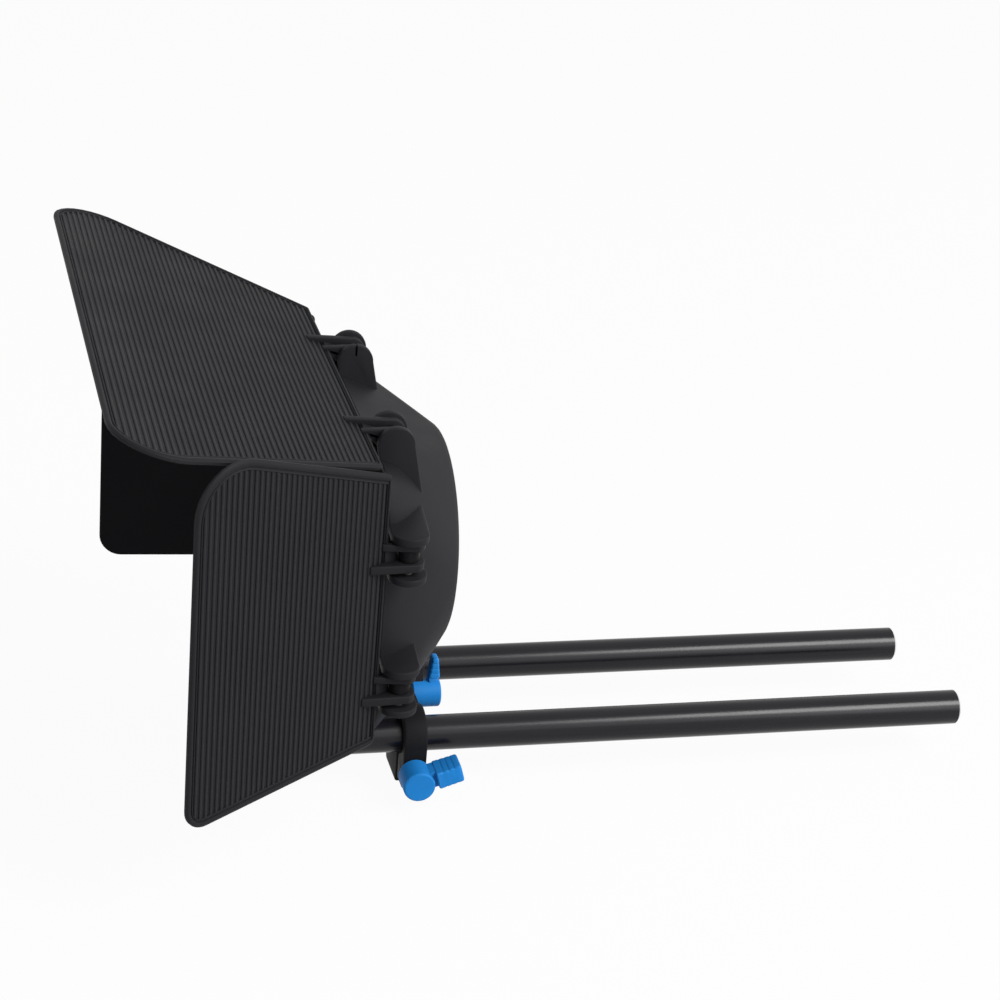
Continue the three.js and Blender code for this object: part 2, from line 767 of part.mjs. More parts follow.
function forkSolids(line, rearEdge, offset) {
  return line.stacks.flatMap((face) => {
    const [thinLow, thinHigh] = stackSpan(line, face, thinArmFrom, thinArmTo);
    const [bladeLow, bladeHigh] = stackSpan(line, face, bladeArmFrom, bladeArmTo);
    const thinArm = slabAlongY(armPoints(rearEdge, offset, flagRearChamfer * 2), thinLow, thinHigh);
    const bladeArm = slabAlongY(armPoints(rearEdge, offset, bladeReach), bladeLow, bladeHigh);
    const tab = block(
      [rearEdge - tabLength, Math.min(thinLow, bladeLow), offset - flagThickness + flagRearChamfer / 2],
      [rearEdge + flagRearChamfer, Math.max(thinHigh, bladeHigh), offset + bladeTipHeight],
    );
    return [thinArm, bladeArm, tab];
  });
}

// Grooves across the panel, parallel to the rear edge, kept inside the panel's outline
function ribGrooves(panel, rearEdge, length, low, high, offset, rimFront) {
  const count = Math.floor((length - rimFront - flagRimRear) / ribPitch);
  const first = rearEdge + flagRimRear + ribPitch / 2;
  const floor = offset - panelRecess - ribGrooveDepth;
  const grooves = Array.from({ length: count }, (_, index) => {
    const middle = first + index * ribPitch;
    return block(
      [middle - ribGrooveWidth / 2, low, floor],
      [middle + ribGrooveWidth / 2, high, offset + overrun],
    );
  });
  const kept = union(grooves).intersect(slabAlongZ(panel, floor, offset + overrun / 2));
  return kept.add(slabAlongZ(panel, offset - panelRecess, offset + overrun / 2));
}

// corners run rear low, rear high, front high, front low along the hinge, anticlockwise from outside
function flagSolid(line, corners, margins, rearEdge, length, offset) {
  const inner = offset - flagThickness;
  const plate = slabAlongZ(roundedPath(corners), inner, offset);
  const places = corners.map((corner) => corner[1]);
  const low = Math.min(...places) - overrun;
  const high = Math.max(...places) + overrun;
  const panelRadii = corners.map((corner, index) => Math.max(corner[2] - margins[index], flagRimRear));
  const panel = roundedPath(insetCorners(corners, margins, panelRadii));
  const chamferTool = slabAlongY([
    new THREE.Vector2(rearEdge - flagRearChamfer, inner - flagRearChamfer),
    new THREE.Vector2(rearEdge + flagRearChamfer * 2, inner - flagRearChamfer),
    new THREE.Vector2(rearEdge - flagRearChamfer, inner + flagRearChamfer * 2),
  ], low, high);
  const grooves = ribGrooves(panel, rearEdge, length, low, high, offset, margins[1]);
  const trimmed = plate.subtract(chamferTool).subtract(grooves);
  const bore = barAlongY(pinRadius + gap, low, high);
  return union([trimmed, ...forkSolids(line, rearEdge, offset)]).subtract(bore);
}

function topFlagMesh() {
  const rear = topFlagRearEdge;
  const front = rear + topFlagLength;
  const rearHalf = topFlagRearWidth / 2;
  const frontHalf = topFlagFrontWidth / 2;
  const corners = [
    [rear, -rearHalf, flagRearCornerRadius], [front, -frontHalf, flagCornerRadius],
    [front, frontHalf, flagCornerRadius], [rear, rearHalf, flagRearCornerRadius],
  ];
  const margins = [flagRimSide, topFlagRimFront, flagRimSide, flagRimRear];
  return meshOf('top_flag', flagSolid(topLine, corners, margins, rear, topFlagLength, topFlagOffset), plastic);
}

// Height of the top flag's underside above the lens axis, over a place ahead of the bridge
function undersideOfTopFlag(ahead) {
  const tilt = THREE.MathUtils.degToRad(topFlagTilt);
  const inner = topFlagOffset - flagThickness;
  return topPin.z + (ahead + topPin.y) * Math.tan(tilt) + inner / Math.cos(tilt);
}

// Highest that the right flag's top edge may lie, at a distance ahead of its pin
function roomUnderTopFlag(distance) {
  const splay = THREE.MathUtils.degToRad(rightFlagSplay);
  const ahead = distance * Math.cos(splay) - sidePinY - sideFlagOffset * Math.sin(splay);
  return undersideOfTopFlag(ahead) - underflagGap;
}

function sideFlagMesh(name, line, rearTop, frontTop) {
  const rear = sideFlagRearEdge;
  const front = rear + sideFlagLength;
  const margins = [flagRimSide, sideFlagRimFront, flagRimSide, flagRimRear];
  const upright = [
    [rear, sideFlagRearBottom, flagRearCornerRadius], [front, sideFlagFrontBottom, flagLowCornerRadius],
    [front, frontTop, flagCornerRadius], [rear, rearTop, flagRearCornerRadius],
  ];
  const turned = [upright[3], upright[2], upright[1], upright[0]].map(([x, y, radius]) => [x, -y, radius]);
  const corners = line === leftLine ? turned : upright;
  return meshOf(name, flagSolid(line, corners, margins, rear, sideFlagLength, sideFlagOffset), plastic);
}

// A hinge line's group: pins and sleeves fixed in it, the flag turned about its Y axis
function hingeGroup(line, labels, flag, openDegrees) {
  const group = new THREE.Group();
  group.setRotationFromMatrix(line.matrix);
  group.position.copy(line.pin);
  const swing = new THREE.Group();
  swing.rotation.y = -THREE.MathUtils.degToRad(openDegrees);
  swing.add(flag);
  group.add(...pinMeshes(line, labels), swing);
  return group;
}

const leftFlag = sideFlagMesh('side_flag_left', leftLine, sideFlagRearTop, sideFlagFrontTop);
const rightFlag = sideFlagMesh(
  'side_flag_right',
  rightLine,
  roomUnderTopFlag(sideFlagRearEdge),
  roomUnderTopFlag(sideFlagRearEdge + sideFlagLength),
);

const housing = new THREE.Group();
housing.position.z = lensHeight;
housing.add(
  bellMesh(),
  hingeGroup(topLine, ['left', 'right'], topFlagMesh(), topFlagTilt),
  hingeGroup(leftLine, ['upper', 'lower'], leftFlag, leftFlagSplay),
  hingeGroup(rightLine, ['upper', 'lower'], rightFlag, rightFlagSplay),
);

const matteBox = new THREE.Group();
matteBox.add(
  housing,
  plateMesh(),
  plateScrewMesh('left', 1),
  plateScrewMesh('right', -1),
  bridgeMesh(),
  clampGroup('left', 1),
  clampGroup('right', -1),
  heightLockGroup(),
  rodMesh('rod_left', 1, leftRodRear),
  rodMesh('rod_right', -1, rightRodRear),
);

export default matteBox;
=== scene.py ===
"""Looks of the matte box: moulded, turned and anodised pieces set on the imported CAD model."""

import json
import math
from dataclasses import dataclass

import bmesh
import bpy
from mathutils import Matrix, Vector
from mathutils.kdtree import KDTree


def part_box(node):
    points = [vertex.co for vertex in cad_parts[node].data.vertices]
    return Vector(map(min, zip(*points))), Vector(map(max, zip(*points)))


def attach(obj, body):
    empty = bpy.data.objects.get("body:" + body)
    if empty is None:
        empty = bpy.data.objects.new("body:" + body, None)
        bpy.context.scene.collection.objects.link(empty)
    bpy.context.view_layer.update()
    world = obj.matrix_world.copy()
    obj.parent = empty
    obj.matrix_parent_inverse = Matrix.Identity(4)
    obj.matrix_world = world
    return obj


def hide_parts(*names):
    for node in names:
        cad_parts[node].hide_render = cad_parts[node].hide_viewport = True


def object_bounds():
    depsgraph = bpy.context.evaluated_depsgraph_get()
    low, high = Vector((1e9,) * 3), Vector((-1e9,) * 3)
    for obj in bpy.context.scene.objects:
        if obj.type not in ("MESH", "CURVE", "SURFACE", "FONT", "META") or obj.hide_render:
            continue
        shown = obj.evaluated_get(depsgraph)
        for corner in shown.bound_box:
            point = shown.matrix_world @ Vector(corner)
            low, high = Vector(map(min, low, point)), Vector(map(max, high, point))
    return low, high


bl_info = {
    "name": "Matte box looks",
    "version": (1, 0, 0),
    "blender": (4, 5, 0),
    "location": "3D View > Sidebar > Matte box",
    "description": "Bell, ribbed flags, rod bridge, knobs, rods and hinges of a matte box",
    "category": "Object",
}

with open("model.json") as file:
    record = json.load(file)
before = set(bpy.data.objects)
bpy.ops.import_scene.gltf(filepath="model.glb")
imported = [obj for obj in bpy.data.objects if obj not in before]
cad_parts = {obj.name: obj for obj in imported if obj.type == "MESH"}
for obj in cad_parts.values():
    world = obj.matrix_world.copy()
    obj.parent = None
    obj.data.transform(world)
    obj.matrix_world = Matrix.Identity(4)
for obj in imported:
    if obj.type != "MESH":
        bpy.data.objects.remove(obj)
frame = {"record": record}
cad_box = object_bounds()

MM = 0.001
LEFT, RIGHT = 1, -1

# Smoothness
WELD = 0.001 * MM
ROUND_SIDES = 64
ARC_STEPS = 10
SMOOTH_ANGLE = math.radians(38)
BEVEL_ANGLE = math.radians(30)
BEVEL_STEPS = 3
CORNER_STEPS = 5

# Bell, drawn about the lens axis
LENS_HEIGHT = 80.4 * MM
BELL_FRONT = 22 * MM
BELL_DEPTH = 38.5 * MM
BELL_HALF_WIDTH = 78.35 * MM
BELL_HALF_HEIGHT = 58.1 * MM
BELL_FRONT_CORNER = 14.5 * MM
BELL_REAR_RADIUS = 43.7 * MM
BELL_REAR_FLAT = 0.5 * MM
BELL_WALL = 2.6 * MM
BELL_FLANGE = 2.5 * MM
LENS_HOLE_RADIUS = 39 * MM
# How fast width, height and corner run over into the round rear: powers of the share of the depth
BELL_WIDTH_POWER = 1.43
BELL_HEIGHT_POWER = 0.92
BELL_CORNER_POWER = 0.72
BELL_STATIONS = 26
BELL_CORNER_STEPS = 24
BELL_REAR_EDGE = 1.2 * MM
EDGE_MIDDLE_SHARE = 1 / 3  # how far in the middle of the rounded rear edge lies
BELL_RIM_EDGE = 0.6 * MM
CUT_OVERRUN = 12 * MM

# Foot under the bell
FOOT_HALF_WIDTH = 17.5 * MM
FOOT_BOTTOM = 17.5 * MM
FOOT_TOP = 38 * MM
FOOT_FRONT = -0.3 * MM
FOOT_WALL_REAR = 4.7 * MM
FOOT_CHEEK = 3 * MM
FOOT_CHEEK_REAR = 12 * MM

# Hinge stacks, measured along the pin from a fin's outer face
FIN = (0, 3.2 * MM)
THIN_ARM = (3.6 * MM, 6.4 * MM)
BLADE_ARM = (11.6 * MM, 15 * MM)
FIN_RADIUS = 7.5 * MM
FIN_DEPTH = 24 * MM
FIN_SINK = 0.3 * MM
FIN_SLIT = 0.9 * MM
FIN_SLIT_FOOT = 2.8 * MM
SLIT_OVERRUN = 0.3 * MM
ARM_RADIUS = 6.2 * MM
ARM_END_DEGREES = 295
BLADE_REACH = 8.5 * MM
BLADE_TIP = 0.4 * MM
TAB_LENGTH = 4.5 * MM
TOP_FIN_FACES = (56.5 * MM, -29.9 * MM)
SLIT_FIN = ("fin", "top", TOP_FIN_FACES[1])
SIDE_FIN_FACES = (40.7 * MM, -16.6 * MM)

# Flags: a rear edge lies that far ahead of the pin, and an outer face that offset outward of it
FLAG_THICKNESS = 2.2 * MM
FLAG_CHAMFER = 1.5 * MM
FLAG_EDGE = 0.5 * MM
FLAG_RIM_FRONT = 3 * MM
FLAG_RIM_SIDE = 4 * MM
FLAG_RIM_REAR = 2.2 * MM
FLAG_CORNER = 20 * MM
FLAG_LOW_CORNER = 9 * MM
FLAG_REAR_CORNER = 2.5 * MM
FLAG_LEAST_CORNER = 0.4 * MM
PANEL_RECESS = 0.3 * MM
TOP_TILT_DEGREES = 17.2
TOP_REAR = 11.5 * MM
TOP_LENGTH = 112 * MM
TOP_REAR_HALF = 84.1 * MM
TOP_FRONT_HALF = 144.15 * MM
TOP_OFFSET = 0.85 * MM
LEFT_SPLAY_DEGREES = 29.6
RIGHT_SPLAY_DEGREES = 15.5
SIDE_REAR = 8.2 * MM
SIDE_LENGTH = 91.9 * MM
SIDE_OFFSET = -2.9 * MM
SIDE_REAR_TOP = 65.4 * MM
SIDE_REAR_BOTTOM = -51 * MM
SIDE_FRONT_TOP = 96.5 * MM
SIDE_FRONT_BOTTOM = -59.9 * MM
UNDERFLAG_GAP = 0.8 * MM
# The lip's profile: share of the rim's width, and depth below the outer face
LIP_STEPS = (
    (0.06, 0.5 * MM), (0.14, 0.28 * MM), (0.22, 0.12 * MM), (0.3, 0.03 * MM), (0.36, 0),
    (0.54, 0), (0.6, 0.12 * MM), (0.65, 0.6 * MM), (0.78, 0.6 * MM), (0.83, 0.3 * MM),
    (0.88, 0.18 * MM), (0.94, 0.18 * MM), (1, 0.45 * MM),
)
LIP_FOOT_SHARE = 1.01
RIB_LEAD_SHARE = 0.5
RIB_CROWN_SHARE = 0.35
# Inward faces of a flag take the darker copy of the black plastic, as painted shade.
INNER_FACE_SHARE = 0.5  # a face whose normal leans this much inward is a flag's inner face

# Rod bridge
ROD_HALF_SPACING = 30 * MM
ROD_CHAMFER = 0.8 * MM
END_FACE_SHARE = 0.9  # a face whose normal leans this much along a rod belongs to its end's disc
BORE_RADIUS = 7.8 * MM
RING_RADIUS = 12.5 * MM
BAR_TOP = 10 * MM
BAR_BOTTOM = -5 * MM
LUG_BOTTOM = -24 * MM
OUTER_LUG_BOTTOM = -20 * MM
LUG_PARTING_HALF = 8 * MM
LUG_CORNER = 2 * MM
CRISP_CORNER = 0.1 * MM
CLAMP_SLIT_HALF = 1.25 * MM
CLAMP_DROP = 11.3 * MM
CLAMP_SETBACK = 4.4 * MM
CLAMP_SCREW_HOLE = 2.3 * MM
INSERT_HOLE = 3.5 * MM
INSERT_REACH = 9.3 * MM

# Knobs
HUB_EDGE = 1 * MM
HUB_FOOT_EDGE = 0.5 * MM
HUB_EDGE_STEPS = 6
WING_ROOT = 8 * MM
WING_EDGE = 0.9 * MM
WING_TURN_SHARE = 0.9
GRIP_WIDTH = 1 * MM
GRIP_DEPTH = 0.14 * MM
GRIP_PITCH = 2.4 * MM
GRIP_SLOPE_SHARE = 0.3
CLAMP_WING_DEGREES = 16.5

# Plate, screws and bolt
PLATE_CORNER = 3 * MM
PLATE_TOP_CORNER = 0.2 * MM
SLOT_HALF_WIDTH = 2.8 * MM
SLOT_TOP = 11.25 * MM
SLOT_BOTTOM = -12.25 * MM
SCREW_RADIUS = 1.4 * MM
SCREW_HEAD_HEIGHT = 1.8 * MM
# The screw head's outline: shares of its radius, and of its height from its outer end inward
SCREW_DOME_SHARES = ((0.62, 0), (0.86, 0.16), (1, 0.55), (1, 1))
BOLT_RADIUS = 2.5 * MM
BOLT_HEAD_HEIGHT = 3.5 * MM
RECESS_WIDTH = 0.7 * MM
RECESS_REACH = 1.7 * MM
RECESS_DEPTH = 0.9 * MM
RING_BORE_GAP = 0.3 * MM
PIN_RADIUS = 2 * MM
BOLT_PITCH = 0.8 * MM
STUD_PITCH = 0.7 * MM
THREAD_DEPTH = 0.25 * MM
WAVE_TEXTURE_FACTOR = 20  # radians per metre by which Blender's wave texture turns at a scale of 1

# Marks in the surfaces: depths, the draw marks' scales, and the waves' scale beside the grain's
GRAIN_DEPTH = 0.02 * MM
FINE_DEPTH = 0.01 * MM
STEEL_MARK_DEPTH = 0.015 * MM
DRAW_MARK_DEPTH = 0.006 * MM
DRAW_SCALES = (1, 0.03, 1)
WAVE_SCALE_SHARE = 0.125


# Settings

def length_property(name, description, default):
    return bpy.props.FloatProperty(
        name=name, description=description, default=default, unit="LENGTH"
    )


def colour_property(name, description, *default):
    return bpy.props.FloatVectorProperty(
        name=name, description=description, subtype="COLOR", size=3, default=default, min=0, max=1
    )


class FlagSettings(bpy.types.PropertyGroup):
    rib_pitch: length_property("Rib pitch", "Distance from rib to rib", 2.5 * MM)
    rib_width: length_property("Rib width", "Width of one rib at its foot", 1.3 * MM)
    rib_height: length_property("Rib height", "Height of a rib over the panel's floor", 0.55 * MM)
    rib_round: length_property("Rib rounding", "How far a rib's top is rounded off", 0.4 * MM)


class EdgeSettings(bpy.types.PropertyGroup):
    moulded: length_property("Moulded edges", "Rounding of moulded plastic edges", 0.45 * MM)
    bridge: length_property("Bridge edges", "Rounding of the rod bridge's edges", 1.2 * MM)
    machined: length_property("Machined edges", "Rounding of small metal edges", 0.25 * MM)


class FinishSettings(bpy.types.PropertyGroup):
    black: colour_property("Black plastic", "Colour of the bell and flags", 0.0102, 0.0101, 0.0116)
    worn_black: colour_property("Rubbed plastic", "Colour of rubbed black plastic", 0.024, 0.024, 0.0265)
    bridge: colour_property("Bridge plastic", "Colour of the rod bridge's plastic", 0.007, 0.007, 0.008)
    blue: colour_property("Blue plastic", "Colour of the knobs", 0.009, 0.15, 0.42)
    rod: colour_property("Anodised rod", "Colour of the rods' anodised skin", 0.006, 0.0057, 0.0074)


# Selecting, building and finishing meshes

def pick(*pieces):
    bpy.ops.object.select_all(action="DESELECT")
    for piece in pieces:
        piece.select_set(True)
    bpy.context.view_layer.objects.active = pieces[0]


def extrude_onto(piece, before, after):
    """Extrudes what is selected and moves each new vertex from its place in one loop to the next."""
    tree = KDTree(len(before))
    for index, point in enumerate(before):
        tree.insert(point, index)
    tree.balance()
    bpy.ops.mesh.extrude_region_move()
    shape = bmesh.from_edit_mesh(piece.data)
    for vertex in shape.verts:
        if vertex.select:
            vertex.co = after[tree.find(vertex.co)[1]]
    bmesh.update_edit_mesh(piece.data)


def skin(name, loops, ring=False):
    """A closed piece extruded through loops of equal counts. A ring's last loop meets its first."""
    bpy.ops.object.select_all(action="DESELECT")
    fill = "NOTHING" if ring else "NGON"
    bpy.ops.mesh.primitive_circle_add(vertices=len(loops[0]), fill_type=fill)
    piece = bpy.context.object
    piece.name = name
    for vertex, point in zip(piece.data.vertices, loops[0]):
        vertex.co = point
    path = list(loops) + [loops[0]] if ring else list(loops)
    bpy.ops.object.mode_set(mode="EDIT")
    bpy.ops.mesh.select_all(action="SELECT")
    for before, after in zip(path, path[1:]):
        extrude_onto(piece, before, after)
    bpy.ops.mesh.select_all(action="SELECT")
    bpy.ops.mesh.remove_doubles(threshold=WELD)
    bpy.ops.mesh.normals_make_consistent(inside=False)
    bpy.ops.object.mode_set(mode="OBJECT")
    return piece


def joined(name, pieces):
    """Joins the pieces. Those without a material take the first one's first material."""
    for piece in pieces[1:]:
        if pieces[0].data.materials and not piece.data.materials:
            piece.data.materials.append(pieces[0].data.materials[0])
    pick(*pieces)
    bpy.ops.object.join()
    pieces[0].name = name
    return pieces[0]


def modified(piece, kind, **values):
    """Applies a modifier of this kind, with these values, to the piece."""
    pick(piece)
    bpy.ops.object.modifier_add(type=kind)
    modifier = piece.modifiers[-1]
    for name, value in values.items():
        setattr(modifier, name, value)
    bpy.ops.object.modifier_apply(modifier=modifier.name)
    return piece


def softened(piece, width):
    """Rounds the piece's sharp edges."""
    limits = {"limit_method": "ANGLE", "angle_limit": BEVEL_ANGLE}
    return modified(piece, "BEVEL", width=width, segments=BEVEL_STEPS, **limits)


def trimmed(piece, cutter):
    """Cuts the cutter's shape out of the piece and removes the cutter."""
    modified(piece, "BOOLEAN", operation="DIFFERENCE", solver="EXACT", object=cutter)
    bpy.data.objects.remove(cutter)
    return piece


def paint(piece, *names):
    """Gives the piece the materials of these names."""
    for name in names:
        piece.data.materials.append(material_of(name))


def repaint(piece, belongs):
    """Gives the piece's second material to the faces that belong to it."""
    for face in piece.data.polygons:
        if belongs(face):
            face.material_index = 1


def dressed(piece, slot, finish, node):
    """Shades the finished piece, gives it its material and lets it stand for its CAD node."""
    pick(piece)
    bpy.ops.object.shade_smooth_by_angle(angle=SMOOTH_ANGLE)
    if not piece.data.materials:
        paint(piece, finish)
    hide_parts(node)
    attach(piece, body_of(node))


def body_of(node):
    bodies = frame["record"]["behaviour"]["bodies"]
    return next(body for body, nodes in bodies.items() if node in nodes)


def middle(node):
    low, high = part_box(node)
    return (low + high) / 2


# Outlines

def rounded(corners, steps=ARC_STEPS):
    """Straight edges joined by arcs: each corner is (x, y, radius), with steps + 1 points."""
    points = []
    for index, (x, y, radius) in enumerate(corners):
        here = Vector((x, y))
        to_before = (Vector(corners[index - 1][:2]) - here).normalized()
        to_after = (Vector(corners[(index + 1) % len(corners)][:2]) - here).normalized()
        half = to_before.angle(to_after) / 2
        centre = here + (to_before + to_after).normalized() * (radius / math.sin(half))
        touch = radius / math.tan(half)
        first = here + to_before * touch - centre
        last = here + to_after * touch - centre
        sweep = math.atan2(first.cross(last), first.dot(last))
        for step in range(steps + 1):
            turn = Matrix.Rotation(sweep * step / steps, 2)
            points.append(centre + turn @ first)
    return points


def arc(x, y, radius, start, end, steps=ARC_STEPS):
    """Points of an arc, from one angle to another in degrees."""
    angles = (math.radians(start + (end - start) * step / steps) for step in range(steps + 1))
    return [Vector((x + radius * math.cos(angle), y + radius * math.sin(angle))) for angle in angles]


def inset(corners, margins):
    """A convex outline's corners moved inward, each edge by its own margin."""
    lines = []
    for index, (x, y, _) in enumerate(corners):
        along = (Vector(corners[(index + 1) % len(corners)][:2]) - Vector((x, y))).normalized()
        inward = Vector((-along.y, along.x))
        lines.append((Vector((x, y)) + inward * margins[index], along))
    shrunk = []
    for index, (point, along) in enumerate(lines):
        before_point, before_along = lines[index - 1]
        reach = (point - before_point).cross(along) / before_along.cross(along)
        corner = before_point + before_along * reach
        radius = max(corners[index][2] - margins[index], FLAG_LEAST_CORNER)
        shrunk.append((corner.x, corner.y, radius))
    return shrunk


def span_at(path, x):
    """Lowest and highest y of a closed outline over one x."""
    crossings = []
    for first, second in zip(path, path[1:] + path[:1]):
        if (first.x - x) * (second.x - x) <= 0 and first.x != second.x:
            share = (x - first.x) / (second.x - first.x)
            crossings.append(first.y + (second.y - first.y) * share)
    return min(crossings), max(crossings)


def across_y(points, y):
    """An outline of (x, z) points set at one y."""
    return [Vector((point.x, y, point.y)) for point in points]


def across_z(points, z):
    return [Vector((point.x, point.y, z)) for point in points]


def moved(loop, matrix):
    return [matrix @ point for point in loop]


def slab(name, points, low, high, matrix=Matrix()):
    """An (x, z) outline given depth along y."""
    return skin(name, [moved(across_y(points, low), matrix), moved(across_y(points, high), matrix)])


def block(name, low, high, matrix=Matrix()):
    corners = [Vector(place) for place in (
        (low[0], low[2]), (high[0], low[2]), (high[0], high[2]), (low[0], high[2]),
    )]
    return slab(name, corners, low[1], high[1], matrix)


def turned(name, profile, matrix=Matrix(), sides=ROUND_SIDES, ring=False):
    """A piece turned about y: the profile's points are (radius, along)."""
    loops = []
    for radius, along in profile:
        circle = arc(0, 0, radius, 0, 360 - 360 / sides, sides - 1)
        loops.append(moved(across_y(circle, along), matrix))
    return skin(name, loops, ring)


def washer_profile(inner, outer, low, high, edge):
    return [
        (inner, low + edge), (inner + edge, low), (outer - edge, low), (outer, low + edge),
        (outer, high - edge), (outer - edge, high), (inner + edge, high), (inner, high - edge),
    ]


def pin_profile(radius, low, high, edge):
    return [(radius - edge, low), (radius, low + edge), (radius, high - edge), (radius - edge, high)]


# Hinge lines: each has its own space, X ahead of the pin, Y along it, Z outward

@dataclass
class HingeForm:
    """Pin behind the bell's rim, a fin's rearward spread per unit of depth, and the ear's span."""
    setback: float
    flare_share: float
    ear: tuple


TOP_HINGE = HingeForm(setback=6.3 * MM, flare_share=0.2, ear=(16 * MM, 18.8 * MM))
SIDE_HINGE = HingeForm(setback=7.3 * MM, flare_share=0.09, ear=(17.3 * MM, 20.1 * MM))


@dataclass
class HingeLine:
    name: str
    matrix: Matrix
    fin_faces: tuple
    towards_ear: int
    form: HingeForm


def axes_matrix(axes, place):
    matrix = Matrix(axes).transposed().to_4x4()
    matrix.translation = place
    return matrix


def hinge_lines():
    top_pin = middle("top_hinge_pin_left")
    top_pin.x = 0
    left_pin = middle("left_hinge_pin_upper")
    left_pin.z = LENS_HEIGHT
    right_pin = middle("right_hinge_pin_upper")
    right_pin.z = LENS_HEIGHT
    ahead = (0, -1, 0)
    top = axes_matrix((ahead, (1, 0, 0), (0, 0, 1)), top_pin)
    left = axes_matrix((ahead, (0, 0, -1), (1, 0, 0)), left_pin)
    right = axes_matrix((ahead, (0, 0, 1), (-1, 0, 0)), right_pin)
    downward_faces = tuple(-face for face in SIDE_FIN_FACES)
    return (
        HingeLine("top", top, TOP_FIN_FACES, -1, TOP_HINGE),
        HingeLine("left", left, downward_faces, 1, SIDE_HINGE),
        HingeLine("right", right, SIDE_FIN_FACES, -1, SIDE_HINGE),
    )


def stack_span(line, face, places):
    return sorted(face + line.towards_ear * place for place in places)


# Materials

def new_material(name):
    """A material with its node tree, its Principled BSDF and the object's coordinates."""
    material = bpy.data.materials.new(name)
    material.use_nodes = True
    tree = material.node_tree
    coordinates = tree.nodes.new("ShaderNodeTexCoord")
    return material, tree, tree.nodes["Principled BSDF"], coordinates.outputs["Object"]


def add_node(tree, kind, **values):
    node = tree.nodes.new(kind)
    for name, value in values.items():
        setattr(node, name, value)
    return node


def new_group(name, inputs, outputs):
    """A node group with a vector and these number sockets, and its input and output nodes."""
    group = bpy.data.node_groups.new(name, "ShaderNodeTree")
    group.interface.new_socket("Vector", in_out="INPUT", socket_type="NodeSocketVector")
    for way, sockets in (("INPUT", inputs), ("OUTPUT", outputs)):
        for socket in sockets:
            group.interface.new_socket(socket, in_out=way, socket_type="NodeSocketFloat")
    return group, add_node(group, "NodeGroupInput"), add_node(group, "NodeGroupOutput")


def add_noise(group, start, scale, detail):
    """A noise of the group's vector, at the scale that one of its inputs gives."""
    noise = add_node(group, "ShaderNodeTexNoise")
    noise.inputs["Detail"].default_value = detail
    group.links.new(start.outputs["Vector"], noise.inputs["Vector"])
    group.links.new(start.outputs[scale], noise.inputs["Scale"])
    return noise.outputs["Fac"]


def grain_group(name):
    """Fine moulding grain over soft waviness, and a slow drift that moves colour and gloss."""
    scales = ("Grain Scale", "Wave Scale", "Drift Scale")
    group, start, end = new_group(name, scales, ("Height", "Drift"))
    details = (3, 1, 4)
    grain, wave, drift = [add_noise(group, start, *pair) for pair in zip(scales, details)]
    mix = add_node(group, "ShaderNodeMix")
    mix.inputs["Factor"].default_value = 0.35
    group.links.new(grain, mix.inputs["A"])
    group.links.new(wave, mix.inputs["B"])
    group.links.new(mix.outputs["Result"], end.inputs["Height"])
    spread = add_node(group, "ShaderNodeMapRange")
    spread.inputs["From Min"].default_value = 0.3
    spread.inputs["From Max"].default_value = 0.7
    group.links.new(drift, spread.inputs["Value"])
    group.links.new(spread.outputs["Result"], end.inputs["Drift"])
    return group


def wear_group(name):
    """Where outer edges are rubbed, broken up by a noise."""
    group, start, end = new_group(name, ("Scale", "Start", "Full"), ("Wear",))
    shape = add_node(group, "ShaderNodeNewGeometry")
    edge = add_node(group, "ShaderNodeMapRange")
    group.links.new(shape.outputs["Pointiness"], edge.inputs["Value"])
    group.links.new(start.outputs["Start"], edge.inputs["From Min"])
    group.links.new(start.outputs["Full"], edge.inputs["From Max"])
    patches = add_noise(group, start, "Scale", detail=5)
    product = add_node(group, "ShaderNodeMath", operation="MULTIPLY")
    group.links.new(edge.outputs["Result"], product.inputs[0])
    group.links.new(patches, product.inputs[1])
    group.links.new(product.outputs["Value"], end.inputs["Wear"])
    return group


def add_group(tree, coordinates, name, build, values):
    """A node of the shared group of that name, which is built the first time it is asked for."""
    group = bpy.data.node_groups.get(name) or build(name)
    node = add_node(tree, "ShaderNodeGroup", node_tree=group)
    for socket, value in values.items():
        node.inputs[socket].default_value = value
    tree.links.new(coordinates, node.inputs["Vector"])
    return node


def add_grain(tree, coordinates, grain, wave, drift):
    values = {"Grain Scale": grain, "Wave Scale": wave, "Drift Scale": drift}
    return add_group(tree, coordinates, "surface grain", grain_group, values)


def add_wear(tree, coordinates, scale, start, full):
    values = {"Scale": scale, "Start": start, "Full": full}
    return add_group(tree, coordinates, "edge wear", wear_group, values)


def mix_colours(tree, factor, first, second):
    mix = add_node(tree, "ShaderNodeMix", data_type="RGBA")
    colours = [socket for socket in mix.inputs if socket.type == "RGBA"]
    for socket, colour in zip(colours, (first, second)):
        if isinstance(colour, bpy.types.NodeSocket):
            tree.links.new(colour, socket)
        else:
            socket.default_value = (*colour, 1)
    tree.links.new(factor, mix.inputs["Factor"])
    return next(socket for socket in mix.outputs if socket.type == "RGBA")


def spread_values(tree, factor, low, high):
    """A value that runs from low to high as the factor goes from 0 to 1."""
    spread = add_node(tree, "ShaderNodeMapRange")
    spread.inputs["To Min"].default_value = low
    spread.inputs["To Max"].default_value = high
    tree.links.new(factor, spread.inputs["Value"])
    return spread.outputs["Result"]


def stretched(tree, coordinates, scales):
    """Coordinates stretched along a direction, for drawn or turned marks."""
    mapping = add_node(tree, "ShaderNodeMapping")
    mapping.inputs["Scale"].default_value = scales
    tree.links.new(coordinates, mapping.inputs["Vector"])
    return mapping.outputs["Vector"]


